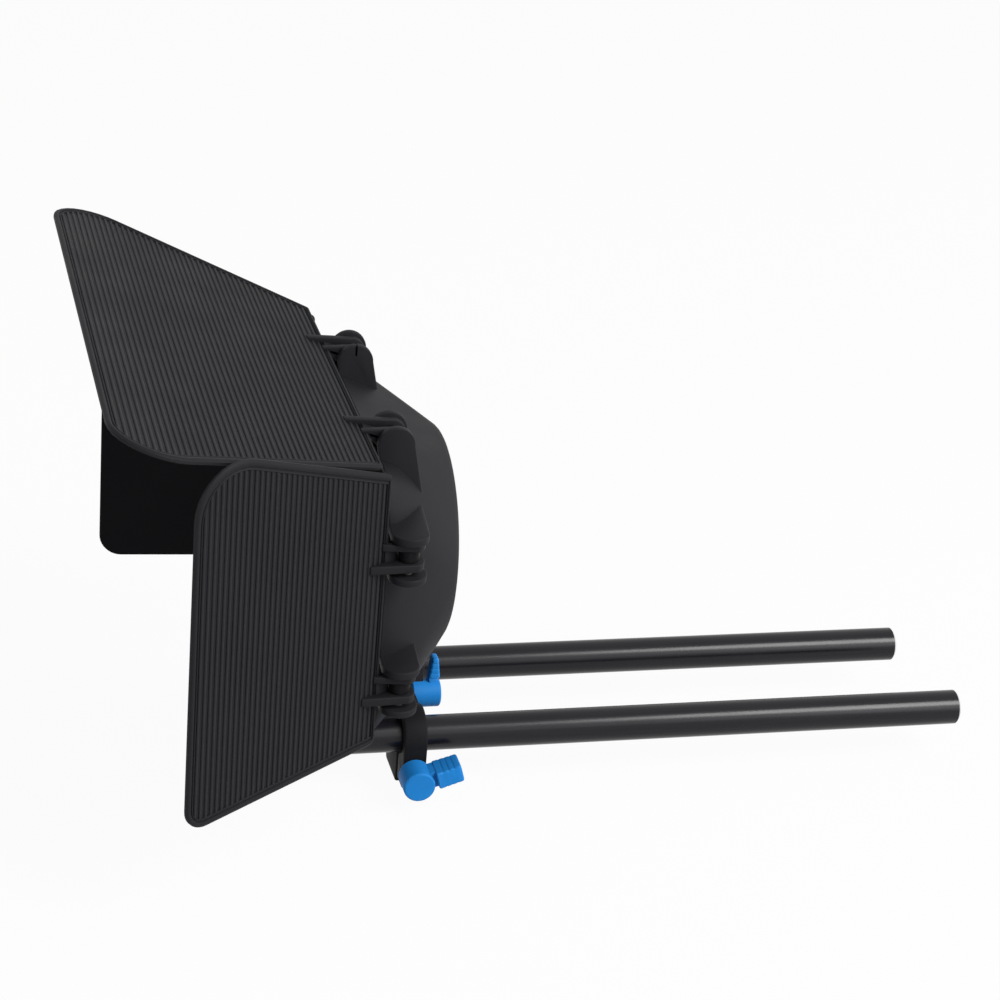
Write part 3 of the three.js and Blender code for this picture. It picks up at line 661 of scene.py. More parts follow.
def set_surface(tree, shader, colour, roughness, height, depth, strength):
    """Links the shader's colour and roughness, and a bump from a height."""
    tree.links.new(colour, shader.inputs["Base Color"])
    tree.links.new(roughness, shader.inputs["Roughness"])
    bump = add_node(tree, "ShaderNodeBump")
    bump.inputs["Strength"].default_value = strength
    bump.inputs["Distance"].default_value = depth
    tree.links.new(height, bump.inputs["Height"])
    tree.links.new(bump.outputs["Normal"], shader.inputs["Normal"])


def brighter(colour, gain, lift=0):
    return tuple(min(channel * gain + lift, 1) for channel in colour)


def moulded(name, colour, rubbed, roughness_span, specular, depth, grain_scale=2600):
    """Moulded plastic: fine spark-eroded grain, cloudy gloss, rubbed edges."""
    material, tree, shader, place = new_material(name)
    grain = add_grain(tree, place, grain=grain_scale, wave=grain_scale * WAVE_SCALE_SHARE, drift=38)
    wear = add_wear(tree, place, scale=900, start=0.53, full=0.62)
    cloud = mix_colours(tree, grain.outputs["Drift"], colour, brighter(colour, gain=1.25))
    worn = mix_colours(tree, wear.outputs["Wear"], cloud, rubbed)
    roughness = spread_values(tree, grain.outputs["Drift"], *roughness_span)
    set_surface(tree, shader, worn, roughness, grain.outputs["Height"], depth, strength=0.55)
    shader.inputs["Specular IOR Level"].default_value = specular
    return material


def anodised(name, colour, roughness_span, specular, depth):
    """Satin anodised skin with faint lengthwise draw marks."""
    material, tree, shader, place = new_material(name)
    marks = add_grain(tree, stretched(tree, place, DRAW_SCALES), grain=2400, wave=700, drift=900)
    clouds = add_grain(tree, place, grain=1500, wave=60, drift=30)
    tone = mix_colours(tree, marks.outputs["Drift"], colour, brighter(colour, gain=1.5))
    roughness = spread_values(tree, clouds.outputs["Drift"], *roughness_span)
    set_surface(tree, shader, tone, roughness, marks.outputs["Height"], depth, strength=0.2)
    shader.inputs["Specular IOR Level"].default_value = specular
    return material


def metal(name, colour, lighter, roughness_span, scales, depth):
    """Bare or blackened metal, its tool marks scaled along each axis."""
    material, tree, shader, place = new_material(name)
    marks = add_grain(tree, stretched(tree, place, scales), grain=2600, wave=800, drift=300)
    wear = add_wear(tree, place, scale=1200, start=0.52, full=0.6)
    cloud = mix_colours(tree, marks.outputs["Drift"], colour, lighter)
    worn = mix_colours(tree, wear.outputs["Wear"], cloud, brighter(lighter, gain=3))
    roughness = spread_values(tree, marks.outputs["Drift"], *roughness_span)
    set_surface(tree, shader, worn, roughness, marks.outputs["Height"], depth, strength=0.3)
    shader.inputs["Metallic"].default_value = 1
    return material


def threaded(name, direction, pitch, dark, light, roughness_span, depth):
    """Blackened steel whose thread is a wave along the piece, its colour darker in the thread's roots
    and lighter on its crests as painted shade and highlight.
    """
    material, tree, shader, place = new_material(name)
    wave = add_node(tree, "ShaderNodeTexWave", bands_direction=direction)
    wave.inputs["Scale"].default_value = math.tau / pitch / WAVE_TEXTURE_FACTOR
    tree.links.new(place, wave.inputs["Vector"])
    clouds = add_grain(tree, place, grain=1800, wave=300, drift=260)
    # The wave paints the roots darker and the crests lighter: painted shade and highlight.
    tone = mix_colours(tree, wave.outputs["Fac"], dark, light)
    roughness = spread_values(tree, clouds.outputs["Drift"], *roughness_span)
    set_surface(tree, shader, tone, roughness, wave.outputs["Fac"], depth, strength=1)
    shader.inputs["Metallic"].default_value = 1
    return material


def recipes():
    """How each material is made, and from which colours and values."""
    finish = bpy.context.scene.matte_box_finish
    pale_blue = brighter(finish.blue, gain=1.35, lift=0.02)
    # Thread colours: painted shade in the roots and painted highlight on the crests; then roughness and
    # depth.
    thread = ((0.05, 0.05, 0.054), (0.13, 0.13, 0.135), (0.32, 0.46), THREAD_DEPTH)
    return {
        "black plastic": (
            moulded, finish.black, finish.worn_black, (0.52, 0.62), 0.09, GRAIN_DEPTH,
        ),
        # Darker, duller copy of the black plastic for the inner faces of the bell and flags: painted
        # shade on the same plastic as outside.
        "inner black": (
            moulded, (0.004, 0.004, 0.0048), (0.01, 0.01, 0.011), (0.66, 0.76), 0.07, GRAIN_DEPTH,
        ),
        "bridge plastic": (
            moulded, finish.bridge, finish.worn_black, (0.5, 0.58), 0.05, FINE_DEPTH,
        ),
        # Very dark: the sleeves' own dark plastic, darkened further as painted shade between the fork's
        # arms.
        "bearing plastic": (
            moulded, (0.004, 0.004, 0.005), (0.01, 0.01, 0.01), (0.4, 0.5), 0.05, FINE_DEPTH,
        ),
        "blue plastic": (moulded, finish.blue, pale_blue, (0.44, 0.54), 0.12, FINE_DEPTH, 1800),
        "anodised rod": (anodised, finish.rod, (0.2, 0.25), 0.24, DRAW_MARK_DEPTH),
        "bare aluminium": (
            metal, (0.5, 0.5, 0.51), (0.62, 0.62, 0.63), (0.3, 0.42), (1, 1, 1), FINE_DEPTH,
        ),
        "blackened steel": (
            metal, (0.07, 0.07, 0.075), (0.12, 0.12, 0.125), (0.34, 0.48), (1, 1, 0.15),
            STEEL_MARK_DEPTH,
        ),
        "turned brass": (
            metal, (0.5, 0.34, 0.14), (0.62, 0.44, 0.2), (0.28, 0.4), (0.2, 1, 1), FINE_DEPTH,
        ),
        "bolt thread": (threaded, "Y", BOLT_PITCH, *thread),
        "stud thread": (threaded, "X", STUD_PITCH, *thread),
    }


MATERIALS = {}


def material_of(name):
    """The material of that name, made the first time it is asked for."""
    if name not in MATERIALS:
        make, *values = recipes()[name]
        MATERIALS[name] = make(name, *values)
    return MATERIALS[name]


# Flags

def flag_loops(corners, inner, outer, floor):
    """The panel's plate and lip as nested loops, from the inner face round to the panel's floor."""
    widths = (FLAG_RIM_SIDE, FLAG_RIM_FRONT, FLAG_RIM_SIDE, FLAG_RIM_REAR)
    rear_share = 1 - FLAG_EDGE / FLAG_CHAMFER
    loops = [
        across_z(rounded(inset(corners, (FLAG_EDGE, FLAG_EDGE, FLAG_EDGE, FLAG_CHAMFER))), inner),
        across_z(rounded(inset(corners, (0, 0, 0, FLAG_CHAMFER * rear_share))), inner + FLAG_EDGE),
        across_z(rounded(corners), inner + FLAG_CHAMFER),
    ]
    for share, drop in LIP_STEPS:
        margins = [width * share for width in widths]
        loops.append(across_z(rounded(inset(corners, margins)), outer - drop))
    floor_margins = [width * LIP_FOOT_SHARE for width in widths]
    loops.append(across_z(rounded(inset(corners, floor_margins)), floor))
    return loops


def rib_section(settings, low, high):
    """A rib's outline across its length: x from its middle, z."""
    half = settings.rib_width / 2
    turn = settings.rib_round
    crown = turn * RIB_CROWN_SHARE
    right = [
        (half, low), (half, high - turn), (half - crown, high - crown),
        (half * RIB_CROWN_SHARE, high),
    ]
    left = [(-x, z) for x, z in reversed(right)]
    return right + left


def rib(settings, panel, place, low, high, matrix):
    """One rib across the panel, its ends cut along the panel's outline."""
    loops = ([], [])
    for across, height in rib_section(settings, low, high):
        x = place + across
        for loop, end in zip(loops, span_at(panel, x)):
            loop.append(matrix @ Vector((x, end, height)))
    return skin("rib", loops)


def arm_outline(rear, offset, reach):
    inner = offset - FLAG_THICKNESS
    return arc(0, 0, ARM_RADIUS, 90, ARM_END_DEGREES, 2 * ARC_STEPS) + [
        Vector((rear, inner + FLAG_CHAMFER)),
        Vector((rear + FLAG_CHAMFER, inner)),
        Vector((rear + reach, offset - FLAG_THICKNESS / 2)),
        Vector((rear + reach, offset + BLADE_TIP)),
    ]


def fork(line, face, rear, offset, matrix, edge):
    """Two arms and the tab that joins them to the panel."""
    thin = stack_span(line, face, THIN_ARM)
    blade = stack_span(line, face, BLADE_ARM)
    tab_low = (rear - TAB_LENGTH, min(thin[0], blade[0]), offset - FLAG_THICKNESS + FLAG_CHAMFER / 2)
    tab_high = (rear + FLAG_CHAMFER, max(thin[1], blade[1]), offset + BLADE_TIP)
    pieces = [
        slab("thin arm", arm_outline(rear, offset, FLAG_CHAMFER * 2), *thin, matrix),
        slab("blade arm", arm_outline(rear, offset, BLADE_REACH), *blade, matrix),
        block("tab", tab_low, tab_high, matrix),
    ]
    return [softened(piece, edge) for piece in pieces]


def flag(node, line, corners, offset, degrees):
    """A ribbed flag on its forks, turned to its rest angle."""
    settings = bpy.context.scene.matte_box_flags
    edge = bpy.context.scene.matte_box_edges.moulded
    matrix = line.matrix @ Matrix.Rotation(-math.radians(degrees), 4, "Y")
    crest = offset - PANEL_RECESS
    floor = crest - settings.rib_height
    loops = flag_loops(corners, offset - FLAG_THICKNESS, offset, floor)
    plate = skin("panel", [moved(loop, matrix) for loop in loops])
    # Faces turned inward take the darker copy of the black plastic: painted shade.
    paint(plate, "black plastic", "inner black")
    inward = -(matrix.to_3x3() @ Vector((0, 0, 1)))
    repaint(plate, lambda face: face.normal.dot(inward) > INNER_FACE_SHARE)
    panel = [point.xy for point in loops[-2]]
    rear, front = corners[0][0], corners[1][0]
    lead = settings.rib_pitch * RIB_LEAD_SHARE
    first = rear + FLAG_RIM_REAR + lead
    run = front - FLAG_RIM_FRONT - lead - first
    count = round(run / settings.rib_pitch)
    root = floor - settings.rib_round
    ribs = [
        rib(settings, panel, first + run * index / count, root, crest, matrix)
        for index in range(count + 1)
    ]
    forks = []
    for face in line.fin_faces:
        forks += fork(line, face, rear, offset, matrix, edge)
    piece = joined(f"{node}_moulding", [plate, *ribs, *forks])
    dressed(piece, "black_plastic", "black plastic", node)


def flag_corners(rear, length, rear_span, front_span, low_corner):
    """A flag's outline in its own plane. Each span runs from the edge's low end to its high one."""
    front = rear + length
    return [
        (rear, rear_span[0], FLAG_REAR_CORNER), (front, front_span[0], low_corner),
        (front, front_span[1], FLAG_CORNER), (rear, rear_span[1], FLAG_REAR_CORNER),
    ]


def side_corners(rear_top, front_top):
    rear_span = (SIDE_REAR_BOTTOM, rear_top)
    front_span = (SIDE_FRONT_BOTTOM, front_top)
    return flag_corners(SIDE_REAR, SIDE_LENGTH, rear_span, front_span, FLAG_LOW_CORNER)


def room_under_top_flag(top, side, distance):
    """Highest place of the right flag's top edge, at a distance ahead of its pin."""
    tilt = math.radians(TOP_TILT_DEGREES)
    splay = math.radians(RIGHT_SPLAY_DEGREES)
    ahead = distance * math.cos(splay) - side.matrix.translation.y - SIDE_OFFSET * math.sin(splay)
    pin = top.matrix.translation
    under = (TOP_OFFSET - FLAG_THICKNESS) / math.cos(tilt)
    return pin.z - LENS_HEIGHT + (ahead + pin.y) * math.tan(tilt) + under - UNDERFLAG_GAP


class MATTEBOX_OT_flags(bpy.types.Operator):
    """Model the three ribbed flags on their forks"""
    bl_idname = "mattebox.flags"
    bl_label = "Flags"

    def execute(self, context):
        top, left, right = hinge_lines()
        rear_span = (-TOP_REAR_HALF, TOP_REAR_HALF)
        front_span = (-TOP_FRONT_HALF, TOP_FRONT_HALF)
        top_corners = flag_corners(TOP_REAR, TOP_LENGTH, rear_span, front_span, FLAG_CORNER)
        flag("top_flag", top, top_corners, TOP_OFFSET, TOP_TILT_DEGREES)
        upright = side_corners(SIDE_REAR_TOP, SIDE_FRONT_TOP)
        downward = [(x, -y, radius) for x, y, radius in reversed(upright)]
        flag("side_flag_left", left, downward, SIDE_OFFSET, LEFT_SPLAY_DEGREES)
        ends = (SIDE_REAR, SIDE_REAR + SIDE_LENGTH)
        trimmed_corners = side_corners(*(room_under_top_flag(top, right, end) for end in ends))
        flag("side_flag_right", right, trimmed_corners, SIDE_OFFSET, RIGHT_SPLAY_DEGREES)
        return {"FINISHED"}


# Bell housing

def bell_loop(y, margin):
    """The bell's outline at one y, moved inward by a margin."""
    share = max((y + BELL_FRONT) / BELL_DEPTH, 0)
    flare = BELL_HALF_WIDTH - BELL_REAR_RADIUS
    rise = BELL_HALF_HEIGHT - BELL_REAR_RADIUS
    growth = BELL_REAR_RADIUS - BELL_REAR_FLAT - BELL_FRONT_CORNER
    width = BELL_REAR_RADIUS + flare * (1 - share ** BELL_WIDTH_POWER) - margin
    height = BELL_REAR_RADIUS + rise * (1 - share ** BELL_HEIGHT_POWER) - margin
    corner = BELL_FRONT_CORNER + growth * share ** BELL_CORNER_POWER - margin
    outline = rounded(
        [(width, -height, corner), (width, height, corner), (-width, height, corner),
         (-width, -height, corner)],
        BELL_CORNER_STEPS,
    )
    raised = [Vector((point.x, point.y + LENS_HEIGHT)) for point in outline]
    return across_y(raised, y)


def lens_hole_loop(y):
    """A circle whose points stand at the angles of the bell's rear outline."""
    centre = Vector((0, y, LENS_HEIGHT))
    rear = bell_loop(BELL_DEPTH - BELL_FRONT, 0)
    loop = []
    for point in rear:
        outward = Vector((point.x, 0, point.z - LENS_HEIGHT)).normalized()
        loop.append(centre + outward * LENS_HOLE_RADIUS)
    return loop


def between(start, end, count):
    return [start + (end - start) * index / (count - 1) for index in range(count)]


def bell_skin():
    front = -BELL_FRONT
    rear = front + BELL_DEPTH
    edge = BELL_REAR_EDGE
    rim = BELL_RIM_EDGE
    turn = edge * EDGE_MIDDLE_SHARE
    outer = [bell_loop(y, 0) for y in between(front + rim, rear - edge, BELL_STATIONS)]
    rear_edge = [bell_loop(rear - turn, turn), bell_loop(rear, edge)]
    hole = [lens_hole_loop(rear), lens_hole_loop(rear - BELL_FLANGE)]
    inner_places = between(rear - BELL_FLANGE, front + rim, BELL_STATIONS)
    inner = [bell_loop(y, BELL_WALL) for y in inner_places]
    front_rim = [bell_loop(front, BELL_WALL - rim), bell_loop(front, rim)]
    bell = skin("bell", outer + rear_edge + hole + inner + front_rim, ring=True)
    # Faces turned toward the lens axis, the bell's inside, take the darker copy of the black plastic:
    # painted shade.
    paint(bell, "black plastic", "inner black")
    axis = Vector((0, 0, LENS_HEIGHT))
    repaint(bell, lambda face: face.normal.xz.dot((face.center - axis).xz) < 0)
    return bell


def wall_core():
    """Fills the bell's cavity out to the middle of its wall, and runs out ahead of it."""
    front = -BELL_FRONT
    rear = front + BELL_DEPTH - BELL_FLANGE / 2
    margin = BELL_WALL / 2
    places = [front - CUT_OVERRUN] + between(front, rear, BELL_STATIONS)
    return skin("wall core", [bell_loop(y, margin) for y in places])


def bracket_outline(form, flare):
    """A fin's outline, or an ear's where the flare is 0, from its round crown down to the bell."""
    front = form.setback - FIN_SINK
    return arc(0, 0, FIN_RADIUS, 0, 180, 2 * ARC_STEPS) + [
        Vector((-FIN_RADIUS - flare, -FIN_DEPTH)),
        Vector((front, -FIN_DEPTH)),
        Vector((front, -FIN_RADIUS)),
    ]


def slit_in(line, face):
    """A cutter for the slit from a fin's crown to its pin."""
    low, high = stack_span(line, face, (-FIN_SLIT, FIN[1] + SLIT_OVERRUN))
    half = FIN_SLIT / 2
    return block(
        "slit", (-half, low, FIN_SLIT_FOOT), (half, high, FIN_RADIUS + FIN_SLIT), line.matrix
    )


def hinge_brackets(edge):
    """A fin and an ear at each of the six hinges, rooted in the bell's wall."""
    pieces = []
    for line in hinge_lines():
        for face in line.fin_faces:
            flare = line.form.flare_share * FIN_DEPTH
            for label, spread, places in (("fin", flare, FIN), ("ear", 0, line.form.ear)):
                span = stack_span(line, face, places)
                piece = slab(label, bracket_outline(line.form, spread), *span, line.matrix)
                trimmed(softened(piece, edge), wall_core())
                if (label, line.name, face) == SLIT_FIN:
                    trimmed(piece, slit_in(line, face))
                pieces.append(piece)
    return pieces


def foot(edge):
    """The foot's wall and its two cheeks: each span is low X, high X and rear Y."""
    spans = [(-FOOT_HALF_WIDTH, FOOT_HALF_WIDTH, FOOT_WALL_REAR)]
    cheek = FOOT_HALF_WIDTH - FOOT_CHEEK
    spans += [(cheek, FOOT_HALF_WIDTH, FOOT_CHEEK_REAR), (-FOOT_HALF_WIDTH, -cheek, FOOT_CHEEK_REAR)]
    pieces = []
    for low, high, rear in spans:
        piece = block("foot wall", (low, FOOT_FRONT, FOOT_BOTTOM), (high, rear, FOOT_TOP))
        pieces.append(trimmed(softened(piece, edge), wall_core()))
    return pieces


class MATTEBOX_OT_bell(bpy.types.Operator):
    """Model the bell with its hinge brackets and foot"""
    bl_idname = "mattebox.bell"
    bl_label = "Bell housing"

    def execute(self, context):
        edge = context.scene.matte_box_edges.moulded
        brackets = hinge_brackets(edge)
        piece = joined("bell_moulding", [bell_skin(), *brackets, *foot(edge)])
        dressed(piece, "black_plastic", "black plastic", "bell_housing")
        return {"FINISHED"}


# Rod bridge

def lug_corner(*corners):
    """The round stretch at the middle one of three corners of a lug."""
    points = rounded(corners, CORNER_STEPS)
    each = CORNER_STEPS + 1
    return points[each:2 * each]


def bridge_outline():
    """Both clamp rings, their lugs and the bar in one closed outline."""
    bar_meets = 180 - math.degrees(math.asin(BAR_TOP / RING_RADIUS))
    slit_meets = math.degrees(math.asin(CLAMP_SLIT_HALF / BORE_RADIUS))
    axis = ROD_HALF_SPACING
    side = axis + RING_RADIUS
    outer_slit = (axis + CLAMP_SLIT_HALF, OUTER_LUG_BOTTOM)
    inner_slit = (axis - CLAMP_SLIT_HALF, LUG_BOTTOM)
    bar_end = (LUG_PARTING_HALF, BAR_BOTTOM)
    half = [
        *arc(axis, 0, RING_RADIUS, bar_meets, 0, 3 * ARC_STEPS),
        *lug_corner(
            (side, 0, CRISP_CORNER), (side, OUTER_LUG_BOTTOM, LUG_CORNER), (*outer_slit, CRISP_CORNER)
        ),
        Vector(outer_slit),
        *arc(axis, 0, BORE_RADIUS, slit_meets - 90, 270 - slit_meets, 5 * ARC_STEPS),
        Vector(inner_slit),
        *lug_corner(
            (*inner_slit, CRISP_CORNER), (LUG_PARTING_HALF, LUG_BOTTOM, LUG_CORNER),
            (*bar_end, CRISP_CORNER),
        ),
        Vector(bar_end),
    ]
    return half + [Vector((-point.x, point.y)) for point in reversed(half)]


def clamp_hole(side, radius, low, high):
    """A round cutter along the clamp screw's axis."""
    place = Matrix.Translation((0, CLAMP_SETBACK, -CLAMP_DROP))
    matrix = place @ Matrix.Rotation(-side * math.pi / 2, 4, "Z")
    return turned("hole", [(radius, low), (radius, high)], matrix, ROUND_SIDES // 2)


class MATTEBOX_OT_bridge(bpy.types.Operator):
    """Model the bridge that clamps both rods"""
    bl_idname = "mattebox.bridge"
    bl_label = "Rod bridge"

    def execute(self, context):
        low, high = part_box("rod_bridge")
        piece = slab("rod_bridge_moulding", bridge_outline(), low.y, high.y)
        softened(piece, context.scene.matte_box_edges.bridge)
        for side in (LEFT, RIGHT):
            trimmed(piece, clamp_hole(side, CLAMP_SCREW_HOLE, 0, high.x + LUG_CORNER))
            trimmed(piece, clamp_hole(side, INSERT_HOLE, 0, LUG_PARTING_HALF + INSERT_REACH))
        dressed(piece, "black_plastic", "bridge plastic", "rod_bridge")
        return {"FINISHED"}


# Knobs

@dataclass
class KnobForm:
    """Root, tip and neck are edges along the knob's axis, from the hub's foot."""
    hub_radius: float
    hub_end: float
    reach: float
    thickness: float
    root: tuple
    tip: tuple
    neck_thickness: float
    neck: tuple


CLAMP_KNOB = KnobForm(
    hub_radius=6.75 * MM, hub_end=12 * MM, reach=19 * MM, thickness=7.8 * MM,
    root=(0.6 * MM, 12 * MM), tip=(0.6 * MM, 11.2 * MM),
    neck_thickness=7.2 * MM, neck=(1.2 * MM, 9.6 * MM),
)
LOCK_KNOB = KnobForm(
    hub_radius=6.3 * MM, hub_end=12.5 * MM, reach=17.6 * MM, thickness=6 * MM,
    root=(7.2 * MM, 12 * MM), tip=(8.3 * MM, 10.9 * MM),
    neck_thickness=5 * MM, neck=(7.2 * MM, 11 * MM),
)


def wing_loop(form, reach, groove, shrink, matrix):
    """The wing's rounded section at one reach from the axis. Grooves lie on its two broad faces."""
    share = (reach - WING_ROOT) / (form.reach - WING_ROOT)
    root_to_tip = zip(form.root, form.tip)
    foot_edge, head_edge = (start + (end - start) * share for start, end in root_to_tip)
    half = form.thickness / 2 - groove - shrink
    low = foot_edge + shrink
    high = head_edge - shrink
    turn = min(WING_EDGE, half * WING_TURN_SHARE, (high - low) / 2 * WING_TURN_SHARE)
    corners = [(half, low, turn), (half, high, turn), (-half, high, turn), (-half, low, turn)]
    outline = rounded(corners, CORNER_STEPS)
    return moved(across_z(outline, reach), matrix)


def wing_stations(form):
    """Reach, groove depth and shrinkage along the wing: the grip grooves and both rounded ends."""
    edge = WING_EDGE
    floor_share = 1 - GRIP_SLOPE_SHARE
    stations = [(WING_ROOT, 0, edge / 2), (WING_ROOT + edge / 2, 0, 0)]
    centre = (WING_ROOT + form.reach) / 2
    for index in (-1, 0, 1):
        groove = centre + index * GRIP_PITCH
        for share, depth in ((-1, 0), (-floor_share, GRIP_DEPTH), (floor_share, GRIP_DEPTH), (1, 0)):
            stations.append((groove + share * GRIP_WIDTH / 2, depth, 0))
    for point in arc(0, 0, edge, 0, 90, CORNER_STEPS):
        stations.append((form.reach - edge + point.y, 0, edge - point.x))
    return stations


def knob(node, form, matrix):
    radius = form.hub_radius
    head_edge = arc(radius - HUB_EDGE, form.hub_end - HUB_EDGE, HUB_EDGE, 0, 90, HUB_EDGE_STEPS)
    profile = [(radius - HUB_FOOT_EDGE, 0), (radius, HUB_FOOT_EDGE), *head_edge]
    hub = turned("hub", profile, matrix)
    wing = skin("wing", [wing_loop(form, *station, matrix) for station in wing_stations(form)])
    half = form.neck_thickness / 2
    neck = block("neck", (-half, form.neck[0], 0), (half, form.neck[1], WING_ROOT + WING_EDGE), matrix)
    softened(neck, WING_EDGE / 2)
    piece = joined(f"{node}_moulding", [hub, wing, neck])
    dressed(piece, "blue_plastic", "blue plastic", node)


class MATTEBOX_OT_knobs(bpy.types.Operator):
    """Model the three one-wing knobs"""
    bl_idname = "mattebox.knobs"
    bl_label = "Knobs"

    def execute(self, context):
        angle = math.radians(CLAMP_WING_DEGREES)
        wing = Vector((0, math.cos(angle), math.sin(angle)))
        for label, side in (("left", LEFT), ("right", RIGHT)):
            node = f"clamp_knob_{label}"
            low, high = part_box(node)
            foot_x = low.x if side == LEFT else high.x
            axis = Vector((side, 0, 0))
            place = Vector((foot_x, CLAMP_SETBACK, -CLAMP_DROP))
            matrix = axes_matrix((axis.cross(wing), axis, wing), place)
            knob(node, CLAMP_KNOB, matrix)
        low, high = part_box("height_knob")
        knob("height_knob", LOCK_KNOB, Matrix.Translation((0, low.y, (BAR_TOP + BAR_BOTTOM) / 2)))
        return {"FINISHED"}


# Rods

def on_chamfer(face, low, high):
    """Whether the face belongs to a chamfer at either end, and not to an end's disc."""
    from_end = min(abs(face.center.y - low), abs(face.center.y - high))
    return from_end < ROD_CHAMFER and abs(face.normal.y) < END_FACE_SHARE


class MATTEBOX_OT_rods(bpy.types.Operator):
    """Model the two anodised rods with their bare chamfers"""
    bl_idname = "mattebox.rods"
    bl_label = "Rods"

    def execute(self, context):
        for node in ("rod_left", "rod_right"):
            low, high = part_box(node)
            radius = (high.z - low.z) / 2
            centre = Vector(((low.x + high.x) / 2, 0, 0))
            profile = pin_profile(radius, low.y, high.y, ROD_CHAMFER)
            piece = turned(f"{node}_bar", profile, Matrix.Translation(centre), 2 * ROUND_SIDES)
            paint(piece, "anodised rod", "bare aluminium")
            dressed(piece, "black_anodised", "anodised rod", node)
            repaint(piece, lambda face: on_chamfer(face, low.y, high.y))
        return {"FINISHED"}


# Hinge pins and sleeves

def along_axis(place, axis):
    """A matrix that lays y along a world axis, at a place."""
    turns = {
        "X": Matrix.Rotation(-math.pi / 2, 4, "Z"),
        "Y": Matrix(),
        "Z": Matrix.Rotation(math.pi / 2, 4, "X"),
    }
    return Matrix.Translation(place) @ turns[axis]


def reach_of(node, axis):
    low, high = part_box(node)
    index = "XYZ".index(axis)
    return (high[index] - low[index]) / 2


def radius_of(node, axis):
    """The larger of the node's half sizes across the axis."""
    return max(reach_of(node, other) for other in "XYZ" if other != axis)


def pin_piece(node, axis, slot, finish):
    edge = bpy.context.scene.matte_box_edges.machined
    reach = reach_of(node, axis)
    profile = pin_profile(radius_of(node, axis), -reach, reach, edge)
    piece = turned(f"{node}_turned", profile, along_axis(middle(node), axis), ROUND_SIDES // 2)
    dressed(piece, slot, finish, node)


def ring_piece(node, axis, bore, slot, finish):
    edge = bpy.context.scene.matte_box_edges.machined / 2
    reach = reach_of(node, axis)
    profile = washer_profile(bore, radius_of(node, axis), -reach, reach, edge)
    piece = turned(f"{node}_turned", profile, along_axis(middle(node), axis), ring=True)
    dressed(piece, slot, finish, node)


HINGE_AXES = {
    "top": ("X", ("left", "right")),
    "left": ("Z", ("upper", "lower")),
    "right": ("Z", ("upper", "lower")),
}


class MATTEBOX_OT_hinges(bpy.types.Operator):
    """Model the six hinge pins and their friction sleeves"""
    bl_idname = "mattebox.hinges"
    bl_label = "Hinge pins and sleeves"

    def execute(self, context):
        bore = PIN_RADIUS + RING_BORE_GAP
        for line, (axis, labels) in HINGE_AXES.items():
            for label in labels:
                pin_piece(f"{line}_hinge_pin_{label}", axis, "dark_steel", "blackened steel")
                sleeve = f"{line}_hinge_sleeve_{label}"
                ring_piece(sleeve, axis, bore, "sleeve_plastic", "bearing plastic")
        return {"FINISHED"}


# Plate, screws, bolt, studs, washers and bushes

def slotted_plate():
    low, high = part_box("slotted_plate")
    outline = rounded([
        (low.x, low.z, PLATE_CORNER), (high.x, low.z, PLATE_CORNER),
        (high.x, high.z, PLATE_TOP_CORNER), (low.x, high.z, PLATE_TOP_CORNER),
    ])
    plate = slab("slotted_plate_pressing", outline, low.y, high.y)
    half = SLOT_HALF_WIDTH
    slot = arc(0, SLOT_TOP - half, half, 0, 180) + arc(0, SLOT_BOTTOM + half, half, 180, 360)
    trimmed(plate, slab("slot", slot, low.y - half, high.y + half))
    softened(plate, bpy.context.scene.matte_box_edges.machined)
    dressed(plate, "dark_steel", "blackened steel", "slotted_plate")


def cross_recess(place):
    """Two crossed cutters for a screw head's recess."""
    reach, half = RECESS_REACH, RECESS_WIDTH / 2
    for wide, tall in ((reach, half), (half, reach)):
        yield block(
            "recess",
            (place.x - wide, place.y - RECESS_DEPTH, place.z - tall),
            (place.x + wide, place.y + RECESS_DEPTH, place.z + tall),
        )


def plate_screw(node):
    low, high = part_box(node)
    head = (high.x - low.x) / 2
    centre = middle(node)
    rise = SCREW_HEAD_HEIGHT
    profile = [(head * width, low.y + rise * drop) for width, drop in SCREW_DOME_SHARES]
    profile += [
        (SCREW_RADIUS, low.y + rise), (SCREW_RADIUS, high.y - SCREW_RADIUS / 2),
        (SCREW_RADIUS / 2, high.y),
    ]
    screw = turned(f"{node}_turned", profile, Matrix.Translation((centre.x, 0, centre.z)))
    for cutter in cross_recess(Vector((centre.x, low.y, centre.z))):
        trimmed(screw, cutter)
    dressed(screw, "dark_steel", "blackened steel", node)


def lock_bolt():
    node = "height_lock_bolt"
    low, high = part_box(node)
    centre = middle(node)
    matrix = Matrix.Translation((centre.x, 0, centre.z))
    head = (high.x - low.x) / 2
    head_end = low.y + BOLT_HEAD_HEIGHT
    edge = bpy.context.scene.matte_box_edges.machined
    hexagon = turned("head", [(head, low.y), (head, head_end)], matrix, sides=6)
    softened(hexagon, edge)
    shank_profile = pin_profile(BOLT_RADIUS, low.y + BOLT_HEAD_HEIGHT / 2, high.y, edge)
    shank = turned("shank", shank_profile, matrix, ROUND_SIDES // 2)
    bolt = joined(f"{node}_turned", [hexagon, shank])
    paint(bolt, "blackened steel", "bolt thread")
    dressed(bolt, "dark_steel", "blackened steel", node)
    repaint(bolt, lambda face: face.center.y > head_end + edge)


class MATTEBOX_OT_fasteners(bpy.types.Operator):
    """Model the slotted plate, screws, bolt, studs, washers and bushes"""
    bl_idname = "mattebox.fasteners"
    bl_label = "Plate and fasteners"

    def execute(self, context):
        slotted_plate()
        lock_bolt()
        steel = ("dark_steel", "blackened steel")
        ring_piece("height_washer", "Y", BOLT_RADIUS + RING_BORE_GAP, *steel)
        for side in ("left", "right"):
            plate_screw(f"plate_screw_{side}")
            pin_piece(f"clamp_stud_{side}", "X", "dark_steel", "stud thread")
            ring_piece(f"clamp_washer_{side}", "X", CLAMP_SCREW_HOLE, *steel)
            ring_piece(f"clamp_insert_{side}", "X", CLAMP_SCREW_HOLE, "brass_insert", "turned brass")
        return {"FINISHED"}


# Stage

